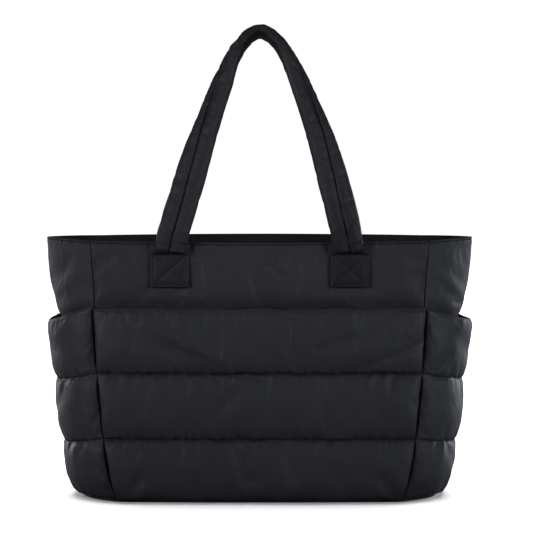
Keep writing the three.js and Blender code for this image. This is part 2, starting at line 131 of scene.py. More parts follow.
def layer(panel, across, z, out):
    # Points of a layer of cloth, out metres in front of the body's outer surface.
    isSide, turn = panel
    width = panelWidth(isSide, z)
    across = across + 0 * z
    inner = across * (1 - bag["seamGap"] / width)
    x, y = panelPlace(isSide, inner, z)
    alongX, alongY = panelAxes(isSide, inner, z)
    frontX, frontY = panelAxes(False, 1 + 0 * z, z)
    sideX, sideY = panelAxes(True, -1 + 0 * z, z)
    mitre = np.abs(frontX * sideY - frontY * sideX) / (1 + frontX * sideX + frontY * sideY)
    toSeam = (1 - np.abs(across)) * width / 2
    lean = np.sign(across) * mitre * np.clip(1 - toSeam / bag["mitreReach"], 0, 1)
    x = x + out * (alongY + alongX * lean)
    y = y + out * (-alongX + alongY * lean)
    return np.stack([x * turn, y * turn, z + 0 * x], axis=-1)


panels = {"front": (False, 1), "right": (True, 1), "back": (False, -1), "left": (True, -1)}


def places(count):
    even = np.linspace(-1, 1, count)
    return (0.75 * even + 0.25 * np.sin(even * np.pi / 2))[:, None]


def noiseLine(seed, along, size):
    # Smooth random numbers from -1 to 1 along a line, one new value every size metres.
    spots = np.random.default_rng(seed).uniform(-1, 1, 4096)
    place = along / size + 1024
    low = np.floor(place).astype(int)
    share = place - low
    return mix(spots[low], spots[low + 1], share * share * (3 - 2 * share))


def noiseField(seed, u, v, size):
    # The same over a surface.
    spots = np.random.default_rng(seed).uniform(-1, 1, (512, 512))
    u, v = np.broadcast_arrays(u / size + 200, v / size + 200)
    lowU, lowV = np.floor(u).astype(int), np.floor(v).astype(int)
    shareU, shareV = u - lowU, v - lowV
    shareU = shareU * shareU * (3 - 2 * shareU)
    shareV = shareV * shareV * (3 - 2 * shareV)
    near = mix(spots[lowU, lowV], spots[lowU + 1, lowV], shareU)
    far = mix(spots[lowU, lowV + 1], spots[lowU + 1, lowV + 1], shareU)
    return mix(near, far, shareV)


def foldSum(folds, across, z, width):
    # Soft folds: from across, from up, to across, to up, wide, high.
    # The ups and wides are shares of the height.
    x = across * width / 2
    total = np.zeros(np.broadcast(x, z).shape)
    for fromAcross, fromUp, toAcross, toUp, wide, high in folds:
        startX, startZ = fromAcross * width / 2, fromUp * bag["height"]
        runX, runZ = toAcross * width / 2 - startX, toUp * bag["height"] - startZ
        share = np.clip(((x - startX) * runX + (z - startZ) * runZ) / (runX**2 + runZ**2), 0, 1)
        gap = np.hypot(x - startX - share * runX, z - startZ - share * runZ)
        total += high * np.exp(-(gap / (wide * bag["height"])) ** 2)
    return total


def gridNormals(points):
    du = np.gradient(points, axis=0)
    dv = np.gradient(points, axis=1)
    normals = np.cross(du, dv)
    return normals / np.maximum(np.linalg.norm(normals, axis=-1, keepdims=True), 1e-12)


# Cloth simulation

relaxing = {"frames": 20, "quality": 4, "tension": 12.0, "cap": 0.006}


def betweenRows(grid, axis, size):
    # Doubles the points of a grid along one axis, on a smooth curve through them.
    grid = np.moveaxis(grid, axis, 0)
    ends = np.concatenate([2 * grid[:1] - grid[1:2], grid, 2 * grid[-1:] - grid[-2:-1]])
    middle = (9 * (ends[1:-2] + ends[2:-1]) - ends[:-3] - ends[3:]) / 16
    full = np.repeat(grid, 2, axis=0)
    full[1:-1:2] = middle
    return np.moveaxis(full[:size], 0, axis)


def relaxed(grid, sewn, look, ring=False):
    # Blender's cloth on every second point of a grid. look says how much spare cloth it was sewn with,
    # as a share, how stiff it bends and how hard its padding presses.
    # Gives how far each point of the grid moved.
    coarse = grid[::2, ::2]
    columns, rows = coarse.shape[:2]
    spots = np.arange(columns * rows).reshape(columns, rows)
    if ring:
        beside = np.roll(spots, -1, axis=1)
        quads = np.stack([spots[:-1], beside[:-1], beside[1:], spots[1:]], axis=-1)
    else:
        quads = np.stack([spots[:-1, :-1], spots[1:, :-1], spots[1:, 1:], spots[:-1, 1:]], axis=-1)
    mesh = bpy.data.meshes.new("relaxing")
    mesh.from_pydata(coarse.reshape(-1, 3).tolist(), [], quads.reshape(-1, 4).tolist())
    cloth = bpy.data.objects.new("relaxing", mesh)
    scene.collection.objects.link(cloth)
    group = cloth.vertex_groups.new(name="sewn")
    weights = sewn[::2, ::2].ravel()
    for weight in np.unique(weights):
        group.add(np.flatnonzero(weights == weight).tolist(), float(weight), "REPLACE")
    modifier = cloth.modifiers.new("cloth", "CLOTH")
    settings = modifier.settings
    settings.vertex_group_mass = "sewn"
    settings.quality = relaxing["quality"]
    settings.tension_stiffness = relaxing["tension"]
    settings.compression_stiffness = relaxing["tension"]
    settings.shear_stiffness = relaxing["tension"] / 3
    settings.bending_stiffness = look["stiff"]
    settings.shrink_min = -look["spare"]
    settings.use_pressure = True
    settings.uniform_pressure_force = look["pressure"]
    settings.effector_weights.gravity = 0
    modifier.collision_settings.use_collision = False
    for frameNumber in range(1, relaxing["frames"] + 1):
        scene.frame_set(frameNumber)
    result = cloth.evaluated_get(bpy.context.evaluated_depsgraph_get()).to_mesh()
    moved = np.empty(columns * rows * 3)
    result.vertices.foreach_get("co", moved)
    move = moved.reshape(coarse.shape) - coarse
    bpy.data.objects.remove(cloth, do_unlink=True)
    bpy.data.meshes.remove(mesh)
    scene.frame_set(1)
    if ring:
        move = np.concatenate([move, move[:, :1]], axis=1)
    move = betweenRows(move, 0, grid.shape[0])
    move = betweenRows(move, 1, grid.shape[1])
    size = np.linalg.norm(move, axis=-1, keepdims=True)
    print("cloth relaxed, moved mm:", round(float(size.mean()) * 1000, 2), round(float(size.max()) * 1000, 2))
    return move * relaxing["cap"] * np.tanh(size / relaxing["cap"]) / np.maximum(size, 1e-9)


def settled(move, normals):
    # Takes out the even swelling of each row, so that the folds stay and the outline doesn't change.
    swell = np.sum(move * normals, axis=-1)
    even = swell.mean(axis=0, keepdims=True)
    return move - even[..., None] * normals


# Meshes from grids

def addMesh(name, points, faces, material, uvs=None, shade=None):
    mesh = bpy.data.meshes.new(name)
    mesh.from_pydata(points.tolist(), [], faces)
    mesh.update()
    if uvs is not None:
        layerUv = mesh.uv_layers.new(name="clothUV")
        corners = np.empty(len(mesh.loops), dtype=int)
        mesh.loops.foreach_get("vertex_index", corners)
        layerUv.data.foreach_set("uv", uvs[corners].ravel())
    if shade is not None:
        mesh.attributes.new("seamShade", "FLOAT", "POINT").data.foreach_set("value", shade.ravel())
    mesh.materials.append(material)
    piece = bpy.data.objects.new(name, mesh)
    scene.collection.objects.link(piece)
    mesh.shade_smooth()
    return piece


def wallMesh(name, loops, material, uvs, faceShade):
    # A closed body from loops[column, point, xyz]: each column is a closed section of the wall.
    # faceShade is how much painted shade its first points get, at seams and other shaded places.
    columns, count = loops.shape[:2]
    here = np.arange(columns - 1)[:, None] * count + np.arange(count)[None, :]
    nextPoint = np.arange(columns - 1)[:, None] * count + (np.arange(count)[None, :] + 1) % count
    quads = np.stack([here, here + count, nextPoint + count, nextPoint], axis=-1).reshape(-1, 4)
    faces = quads.tolist()
    faces.append(list(range(count)))
    faces.append(list(range(columns * count - 1, (columns - 1) * count - 1, -1)))
    shade = np.zeros((columns, count))
    shade[:, :faceShade.shape[1]] = np.clip(faceShade, 0, 1)
    return addMesh(name, loops.reshape(-1, 3), faces, material, uvs.reshape(-1, 2), shade)


def finishPiece(piece, nodes=()):
    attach(piece, "root")
    if nodes:
        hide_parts(*nodes)


# Shader groups

def newGroup(name, inputs, outputs):
    group = bpy.data.node_groups.new(name, "ShaderNodeTree")
    for label, kind, value in inputs:
        socket = group.interface.new_socket(name=label, in_out="INPUT", socket_type=kind)
        if value is not None:
            socket.default_value = value
    for label, kind in outputs:
        group.interface.new_socket(name=label, in_out="OUTPUT", socket_type=kind)
    source = group.nodes.new("NodeGroupInput")
    result = group.nodes.new("NodeGroupOutput")
    return group, source, result


def mathNode(tree, operation, first, second=None):
    node = tree.nodes.new("ShaderNodeMath")
    node.operation = operation
    for index, value in enumerate((first, second)):
        if value is None:
            continue
        if isinstance(value, (int, float)):
            node.inputs[index].default_value = value
        else:
            tree.links.new(value, node.inputs[index])
    return node.outputs[0]


def weaveGroup():
    # Plain weave in the cloth's own UV, in threads for each metre.
    group, source, result = newGroup(
        "nylonWeave",
        [("Threads", "NodeSocketFloat", 2600.0), ("Unevenness", "NodeSocketFloat", 0.3)],
        [("Height", "NodeSocketFloat")],
    )
    uv = group.nodes.new("ShaderNodeUVMap")
    uv.uv_map = "clothUV"
    split = group.nodes.new("ShaderNodeSeparateXYZ")
    group.links.new(uv.outputs["UV"], split.inputs[0])
    waves = []
    for axis in ("X", "Y"):
        turns = mathNode(group, "MULTIPLY", split.outputs[axis], source.outputs["Threads"])
        wave = mathNode(group, "SINE", mathNode(group, "MULTIPLY", turns, math.pi))
        waves.append(mathNode(group, "ABSOLUTE", wave))
    noise = group.nodes.new("ShaderNodeTexNoise")
    noise.inputs["Scale"].default_value = 900.0
    group.links.new(uv.outputs["UV"], noise.inputs["Vector"])
    uneven = mathNode(group, "MULTIPLY", noise.outputs["Fac"], source.outputs["Unevenness"])
    total = mathNode(group, "ADD", mathNode(group, "MULTIPLY", waves[0], waves[1]), uneven)
    group.links.new(total, result.inputs["Height"])
    return group


def crinkleGroup():
    # Small soft creases of thin nylon, in object space.
    group, source, result = newGroup(
        "nylonCrinkle",
        [("Scale", "NodeSocketFloat", 60.0), ("Stretch", "NodeSocketFloat", 0.5)],
        [("Height", "NodeSocketFloat"), ("Patches", "NodeSocketFloat")],
    )
    place = group.nodes.new("ShaderNodeTexCoord")
    mapping = group.nodes.new("ShaderNodeMapping")
    group.links.new(place.outputs["Object"], mapping.inputs["Vector"])
    mapping.inputs["Scale"].default_value = (1.0, 1.0, 0.6)
    small = group.nodes.new("ShaderNodeTexNoise")
    group.links.new(mapping.outputs["Vector"], small.inputs["Vector"])
    group.links.new(source.outputs["Scale"], small.inputs["Scale"])
    group.links.new(source.outputs["Stretch"], small.inputs["Distortion"])
    small.inputs["Detail"].default_value = 3.0
    large = group.nodes.new("ShaderNodeTexNoise")
    group.links.new(mapping.outputs["Vector"], large.inputs["Vector"])
    large.inputs["Scale"].default_value = 14.0
    ridge = mathNode(group, "ABSOLUTE", mathNode(group, "SUBTRACT", small.outputs["Fac"], 0.5))
    group.links.new(mathNode(group, "MULTIPLY", ridge, large.outputs["Fac"]), result.inputs["Height"])
    group.links.new(large.outputs["Fac"], result.inputs["Patches"])
    return group


def seamShadeGroup():
    # Painted shade: mixes the cloth's colour towards near black by the mesh's own seamShade mask, which
    # paints the shade of seams, stitch dents, gaps, hollows and the arch's underside.
    group, source, result = newGroup(
        "nylonSeamShade",
        [("Color", "NodeSocketColor", None), ("Depth", "NodeSocketFloat", 0.9)],
        [("Color", "NodeSocketColor")],
    )
    mask = group.nodes.new("ShaderNodeAttribute")
    mask.attribute_name = "seamShade"
    mixer = group.nodes.new("ShaderNodeMix")
    mixer.data_type = "RGBA"
    # near-black colour of the painted shade
    mixer.inputs[7].default_value = (0.0004, 0.0004, 0.0005, 1)
    share = mathNode(group, "MULTIPLY", mask.outputs["Fac"], source.outputs["Depth"])
    group.links.new(share, mixer.inputs[0])
    group.links.new(source.outputs["Color"], mixer.inputs[6])
    group.links.new(mixer.outputs[2], result.inputs["Color"])
    return group


weave = weaveGroup()
crinkle = crinkleGroup()
seamShade = seamShadeGroup()

cloths = {
    "bodyCloth": {"low": (0.0182, 0.0184, 0.0232), "high": (0.0222, 0.0224, 0.0282), "rough": (0.56, 0.66),
                  "shine": 0.24, "weaveBump": 0.12, "crinkleBump": 1.0},
    "quiltedCloth": {"low": (0.0182, 0.0185, 0.0234), "high": (0.0222, 0.0225, 0.0284), "rough": (0.54, 0.64),
                     "shine": 0.24, "weaveBump": 0.12, "crinkleBump": 0.9},
    "strapCloth": {"low": (0.0145, 0.0147, 0.0185), "high": (0.0185, 0.0187, 0.0235), "rough": (0.56, 0.66),
                   "shine": 0.22, "weaveBump": 0.14, "crinkleBump": 1.5, "crinkleScale": 130.0},
    "facingCloth": {"low": (0.0055, 0.0056, 0.0070), "high": (0.0085, 0.0086, 0.0105), "rough": (0.62, 0.72),
                    "shine": 0.16, "weaveBump": 0.14, "crinkleBump": 0.50},
    "baseCloth": {"low": (0.0060, 0.0062, 0.0075), "high": (0.0100, 0.0103, 0.0120), "rough": (0.60, 0.70),
                  "shine": 0.30, "weaveBump": 0.18, "crinkleBump": 0.20},
}


def clothMaterial(name, look):
    material = bpy.data.materials.new(name)
    material.use_nodes = True
    tree = material.node_tree
    shader = tree.nodes["Principled BSDF"]
    creases = tree.nodes.new("ShaderNodeGroup")
    creases.node_tree = crinkle
    creases.inputs["Scale"].default_value = look.get("crinkleScale", 70.0)
    creases.inputs["Stretch"].default_value = 0.6
    threads = tree.nodes.new("ShaderNodeGroup")
    threads.node_tree = weave
    tone = tree.nodes.new("ShaderNodeMix")
    tone.data_type = "RGBA"
    tone.inputs[6].default_value = (*look["low"], 1)
    tone.inputs[7].default_value = (*look["high"], 1)
    tree.links.new(creases.outputs["Patches"], tone.inputs[0])
    # painted shade from the seamShade mask darkens the cloth's colour
    paintedShadeNode = tree.nodes.new("ShaderNodeGroup")
    paintedShadeNode.node_tree = seamShade
    tree.links.new(tone.outputs[2], paintedShadeNode.inputs["Color"])
    tree.links.new(paintedShadeNode.outputs["Color"], shader.inputs["Base Color"])
    rough = tree.nodes.new("ShaderNodeMapRange")
    rough.inputs["From Min"].default_value = 0.3
    rough.inputs["From Max"].default_value = 0.7
    rough.inputs["To Min"].default_value = look["rough"][0]
    rough.inputs["To Max"].default_value = look["rough"][1]
    tree.links.new(creases.outputs["Patches"], rough.inputs["Value"])
    tree.links.new(rough.outputs[0], shader.inputs["Roughness"])
    creaseBump = tree.nodes.new("ShaderNodeBump")
    creaseBump.inputs["Strength"].default_value = look["crinkleBump"]
    creaseBump.inputs["Distance"].default_value = 0.002
    tree.links.new(creases.outputs["Height"], creaseBump.inputs["Height"])
    weaveBump = tree.nodes.new("ShaderNodeBump")
    weaveBump.inputs["Strength"].default_value = look["weaveBump"]
    weaveBump.inputs["Distance"].default_value = 0.0001
    tree.links.new(threads.outputs["Height"], weaveBump.inputs["Height"])
    tree.links.new(creaseBump.outputs["Normal"], weaveBump.inputs["Normal"])
    tree.links.new(weaveBump.outputs["Normal"], shader.inputs["Normal"])
    shader.inputs["Specular IOR Level"].default_value = look["shine"]
    return material


materials = {name: clothMaterial(name, look) for name, look in cloths.items()}
print("cloth materials made")

thread = {"long": 0.0023, "pitch": 0.0036, "thick": 0.0007, "rise": 0.0003}  # one stitch

# Quilted pockets

quilting = {
    "height": 0.212,           # top edge of the front pocket above the floor
    "lines": (0.0, 0.335, 0.675, 1.0),  # stitch lines as shares of the height
    "sags": (0.0, 0.55, 0.7, 1.0),      # how much of the droop each line has at the middle of a side
    "droop": 0.017,
    "rows": 40,                # of points in each channel
    "crowding": 0.32,          # how much closer they stand at the stitches
    "sewn": 0.003,             # cloth where it is sewn through
    "rollSag": 0.0025,
    "crease": 0.003,
    "teeth": {"deep": 0.0015, "long": 0.0040, "pitch": 0.0036},    # small puckers between the stitches
    "gathers": {"deep": 0.0013, "long": 0.011, "pitch": 0.0085},  # wider ones, which reach into the padding
    "mouthShare": 0.35,        # how much of the puckers the folded top edge has
    "edgeWave": 0.0012,        # waviness of the open top edge
    "lineWave": 0.0007,        # and of the quilting lines
    "lineReach": 0.012,        # how far from a line its waves reach
    "softness": 0.0009,        # height of the uneven padding
    "spare": 0.03,             # cloth beyond the pocket's own size, which folds softly
    "stiff": 0.25,
    "pressure": 4.0,
    "foldShare": 0.38,         # how much of the simulated folds is kept
}
frontSizes = {"crown": 0.013, "lip": 0.0065, "mouth": 0.008, "round": 36, "tuck": 0.15, "seamShade": 0.0009}
sideSizes = {"crown": 0.0095, "lip": 0.0045, "mouth": 0.0095, "round": 7, "tuck": 0.75, "seamShade": 0.0019,
             "rise": {"left": 0.003}}

frontPocketFolds = [
    (-0.94, 0.7, -0.42, 0.57, 0.035, -0.8),
    (-0.36, 0.7, 0.0, 0.6, 0.04, -0.7),
    (0.96, 0.7, 0.54, 0.57, 0.035, 0.8),
    (0.98, 0.62, 0.60, 0.51, 0.022, -0.7),
    (0.74, 0.69, 0.36, 0.60, 0.02, -0.5),
    (-0.70, 0.69, -0.24, 0.56, 0.02, 0.5),
    (-0.1, 0.46, -0.3, 0.34, 0.035, -0.5),
    (0.45, 0.45, 0.6, 0.32, 0.035, -0.5),
    (-0.16, 0.24, -0.08, 0.1, 0.03, -0.8),
    (0.18, 0.24, 0.22, 0.12, 0.03, -0.7),
    (-0.95, 0.02, -0.8, 0.1, 0.025, -0.9),
    (0.95, 0.02, 0.82, 0.1, 0.025, -0.9),
]
backPocketFolds = [
    (-0.5, 0.7, -0.15, 0.58, 0.04, -0.7),
    (0.7, 0.69, 0.4, 0.56, 0.035, -0.6),
    (0.1, 0.44, 0.3, 0.33, 0.035, -0.5),
    (-0.2, 0.22, -0.1, 0.1, 0.03, -0.7),
]
sidePocketFolds = [
    (-0.8, 0.68, -0.2, 0.56, 0.03, -0.5),
    (0.6, 0.42, 0.1, 0.32, 0.03, -0.5),
    (-0.5, 0.2, -0.1, 0.08, 0.03, -0.5),
]


def quiltHeight(line, isSide, across):
    droop = quilting["droop"] * quilting["sags"][line] * (1 - np.abs(across) ** 2.2) if isSide else 0 * across
    corner = np.abs(across)
    lift = 0.5 + 0.5 * corner + 0.45 * np.sin(np.pi * corner) if isSide else corner ** 3
    bottom = bag["floorGap"] + bag["cornerLift"] * lift
    return np.maximum(quilting["lines"][line] * quilting["height"] - droop, bottom)


def quiltedPocket(name, panelName, folds, sizes, columns, seed, node):
    panel = panels[panelName]
    isSide = panel[0]
    across = places(columns)
    edge = np.sqrt(1 - np.abs(across) ** sizes["round"])
    lipShare = (sizes["lip"] - quilting["sewn"]) / (sizes["crown"] - quilting["sewn"])
    outer, zs, fills, lineGaps = [], [], [], []
    for channel in range(3):
        low, high = quiltHeight(channel, isSide, across), quiltHeight(channel + 1, isSide, across)
        step = np.linspace(0, 1, quilting["rows"] + 1)[None, (1 if channel else 0):]
        step = step - quilting["crowding"] * np.sin(2 * np.pi * step) / (2 * np.pi)
        z = mix(low, high, step)
        roundness = (1 - np.abs(2 * step - 1) ** 2.2) ** 0.62
        if channel == 0 and not isSide:
            roundness = np.where(step < 0.5, (1 - np.abs(2 * step - 1) ** 4) ** 0.5, roundness)
        fill = np.where((channel == 2) & (step > 0.5), mix(lipShare, 1, roundness), roundness) * edge
        zs.append(z)
        fills.append(fill)
        outer.append(quilting["rollSag"] * 4 * step * (1 - step) * edge)
        lineGaps.append(np.minimum(z - low, high - z) + 0 * edge)
    z, fill, sink = (np.concatenate(part, axis=1) for part in (zs, fills, outer))
    girth = across * panelWidth(isSide, quilting["height"]) / 2
    wave = noiseLine(seed + 3, girth, 0.030) + 0.5 * noiseLine(seed + 4, girth, 0.012)
    wave = quilting["edgeWave"] * wave
    rise = sizes.get("rise", {}).get(panelName, 0) * smooth(across * (1 if panelName == "left" else -1), 0, 1)
    nearEdge = smooth(z, quilting["height"] - 0.035, quilting["height"] - 0.012)
    z = z + (wave * (1 - across**8) + rise) * nearEdge
    width = panelWidth(isSide, z)
    bend = quilting["lineWave"] * noiseLine(seed + 50, girth, 0.016) * (1 - across**8)
    bend = bend * np.exp(-(np.concatenate(lineGaps, axis=1) / quilting["lineReach"]) ** 2)
    bend = bend * smooth(z, 0.02, 0.05) * (1 - smooth(z, 0.17, 0.19))
    straight, z = z, z + bend
    stand = bag["seat"] + sizes["mouth"] * (1 - np.abs(across) ** 4) * (z / quilting["height"]) ** 1.5
    u = across * width / 2
    relief = quilting["crease"] * foldSum(folds, across, z, width) * fill
    uneven = noiseField(seed, u, z, 0.030) + 0.5 * noiseField(seed + 1, u, z, 0.014)
    relief = relief + quilting["softness"] * fill * uneven
    pucker = np.zeros_like(z)
    for line in range(4):
        centre = quiltHeight(line, isSide, across)
        for side in (-1, 1):
            gap = (straight - centre) * side
            for number, size in enumerate((quilting["teeth"], quilting["gathers"])):
                reach = size["long"] * (1 + 0.5 * noiseLine(seed + 10 * line + side + number, u, 0.02))
                wave = noiseLine(seed + 20 * line + side + number, u + gap * 0.15, size["pitch"])
                near = np.exp(-(np.abs(gap) / reach) ** 1.5) * smooth(gap, 0, 0.3 * size["long"])
                pucker += size["deep"] * wave * near * (quilting["mouthShare"] if line == 3 else 1)
    tuck = 1 - sizes["tuck"] * np.abs(across) * (1 - smooth(z, 0, 0.03))  # the lower corners are rounder
    padding = quilting["sewn"] + (sizes["crown"] - quilting["sewn"]) * fill * tuck + relief + pucker * edge
    face = layer(panel, across, z, stand + padding)
    face[..., 2] -= sink
    sewn = np.zeros_like(z)
    sewn[[0, -1], :] = 1
    sewn[:, ::quilting["rows"]] = 1
    move = relaxed(face, sewn, quilting)
    face = face + quilting["foldShare"] * settled(move, gridNormals(face))
    lipTurns = np.linspace(0, np.pi, 9)[None, 1:-1]  # the folded top edge, round
    topStand, topPad = stand[:, -1:], padding[:, -1:]
    lipOut = topStand + topPad / 2 + topPad / 2 * np.cos(lipTurns)
    lipZ = z[:, -1:] + 0.4 * topPad * np.sin(lipTurns)
    lip = layer(panel, across, lipZ, lipOut)
    innerRows = np.linspace(z.shape[1] - 1, 0, 28).astype(int)
    inner = layer(panel, across, z[:, innerRows], stand[:, innerRows])
    loops = np.concatenate([face, lip, inner], axis=1)
    climb = np.concatenate([z, lipZ, 2 * quilting["height"] - z[:, innerRows]], axis=1)
    uvs = np.stack([u[:, :1] + 0 * climb, climb], axis=-1)
    toSeam = (1 - np.abs(across)) * width / 2
    thick = 0.0012 * (1 + 0.5 * noiseLine(seed + 60, u, 0.005))
    rowShade = sum(np.exp(-((straight - quiltHeight(line, isSide, across)) / thick) ** 2) for line in (1, 2))
    shade = np.maximum(rowShade, 0.9 * np.exp(-toSeam / sizes["seamShade"]))
    piece = wallMesh(name, loops, materials["quiltedCloth"], uvs, shade)
    finishPiece(piece, [node])
    return {"across": across, "z": z, "face": face, "normals": gridNormals(face)}


pocketTable = [  # piece, panel, folds, sizes, columns of points, seed, node
    ("frontPocket", "front", frontPocketFolds, frontSizes, 401, 11, "front_pocket"),
    ("backPocket", "back", backPocketFolds, frontSizes, 281, 12, "back_pocket"),
    ("sidePocketLeft", "left", sidePocketFolds, sideSizes, 161, 13, "side_pocket_left"),
    ("sidePocketRight", "right", sidePocketFolds, sideSizes, 161, 14, "side_pocket_right"),
]
pocketFaces = {row[1]: quiltedPocket(*row) for row in pocketTable}
print("quilted pockets made")

# Handles

handles = {
    "tabSpacing": 0.196,
    "backTabSpacing": 0.208,
    "tabWidth": 0.042,
    "tabDrop": 0.050,
    "tabThickness": 0.0026,
    "strapWidth": 0.034,
    "strapThickness": 0.016,
    "rise": 0.2288,
    "backRise": 0.002,
    "gap": 0.003,
    "flatShare": 0.25,
    "strapFull": 0.012,        # above the rim, where the padding starts to thin out
    "strapEnd": 0.0138,        # below the rim, where the strap is sewn flat on its tab
    "endRound": 0.0035,        # length of the strap's rounded end
    "endFullness": 0.6,        # its thickness there, as a share
    "footSpread": 0.975,
    "lean": 0.010,
    "leanPower": 1.25,
    "twistPower": 1.5,
    "topTwist": 0.30,          # radians more at the top, where the arch shows its underside
    "topFlat": 0.26,           # how much thinner it is pressed there
    "topNarrow": 0.12,         # how much narrower the folded strap is up there
    "seamDepth": 0.0022,
    "seamWidth": 0.0010,
    "wrinkle": 0.0007,
    "underShade": 0.95,        # painted shade inside the top of the arch, where its underside shows
    "spare": 0.03,
    "stiff": 0.3,
    "pressure": 3.0,
    "foldShare": 0.35,
    "ringStep": 0.0014,
    "faceSteps": 44,
}
archRows = [(0.044, 0.949), (0.144, 0.89), (0.332, 0.771), (0.524, 0.634), (0.716, 0.465), (0.86, 0.323),
            (0.934, 0.222), (0.98, 0.115), (1.0, 0.0)]  # rise and spread


def handleSizes(z):
    toEnd = z - bag["height"] + handles["strapEnd"]
    fill = np.sqrt(1 - (1 - np.clip(toEnd / handles["endRound"], 0, 1)) ** 2)
    fullShare = np.clip(toEnd / (handles["strapEnd"] + handles["strapFull"]), 0, 1)
    thinning = mix(handles["endFullness"], 1, fullShare)
    width = np.where(toEnd > 0, handles["strapWidth"], handles["tabWidth"])
    thickness = mix(handles["tabThickness"], handles["strapThickness"] * thinning, fill)
    return fill, width, thickness, mix(0.12, 0.8, fill)


def footCentre(x, z):
    surfaceY = panelPlace(False, 2 * x / panelWidth(False, z), z)[1]
    return np.array([x, float(surfaceY - bag["seat"] - handles["strapThickness"] / 2), z])


def curveThrough(points, stepSize):
    # Centripetal Catmull-Rom curve through points, sampled about every stepSize.
    points = np.array(points)
    full = np.vstack([2 * points[0] - points[1], points, 2 * points[-1] - points[-2]])
    line = []
    for i in range(1, len(full) - 2):
        p0, p1, p2, p3 = full[i - 1:i + 3]
        d0, d1, d2 = (np.sqrt(np.linalg.norm(b - a)) for a, b in ((p0, p1), (p1, p2), (p2, p3)))
        m1 = ((p1 - p0) / d0 - (p2 - p0) / (d0 + d1) + (p2 - p1) / d1) * d1
        m2 = ((p2 - p1) / d1 - (p3 - p1) / (d1 + d2) + (p3 - p2) / d2) * d1
        count = max(2, int(np.linalg.norm(p2 - p1) / stepSize))
        t = np.linspace(0, 1, count, endpoint=False)[:, None]
        line.append((2 * t**3 - 3 * t**2 + 1) * p1 + (t**3 - 2 * t**2 + t) * m1
                    + (3 * t**2 - 2 * t**3) * p2 + (t**3 - t**2) * m2)
    line.append(points[-1:])
    return np.vstack(line)


def footDrops():
    # Levels of the rings below the rim, closer where the strap ends.
    even = np.arange(handles["tabDrop"], 0, -handles["ringStep"])
    ends = handles["strapEnd"] + np.linspace(0.0004, -handles["endRound"], 9)
    away = np.min(np.abs(even[:, None] - ends[None, :]), axis=1) > 0.0005
    return np.sort(np.concatenate([even[away], ends]))[::-1]


def handlePath(spacing, rise, lean):
    drops = footDrops()

    def foot(side):
        spread = mix(handles["footSpread"], 1, smooth(drops / handles["tabDrop"], 0, handles["flatShare"]))
        return [footCentre(side * spacing / 2 * s, bag["height"] - d) for s, d in zip(spread, drops)]

    rim = [footCentre(side * spacing / 2 * handles["footSpread"], bag["height"]) for side in (-1, 1)]
    topY = -(handles["strapWidth"] + handles["gap"]) / 2

    def arch(side, row):
        share, spread = row
        halfSpacing = mix(spacing, handles["tabSpacing"], share) / 2
        x = side * halfSpacing * spread + lean * rise * math.sin(math.pi * share)
        y = mix(rim[0][1], topY, share ** handles["leanPower"])
        return np.array([x, y, bag["height"] + share * rise])

    leftRows = [arch(-1, row) for row in archRows]
    rightRows = [arch(1, row) for row in archRows[-2::-1]]
    route = [rim[0], *leftRows, *rightRows, rim[1]]
    return np.vstack([foot(-1), curveThrough(route, handles["ringStep"]), foot(1)[::-1]])


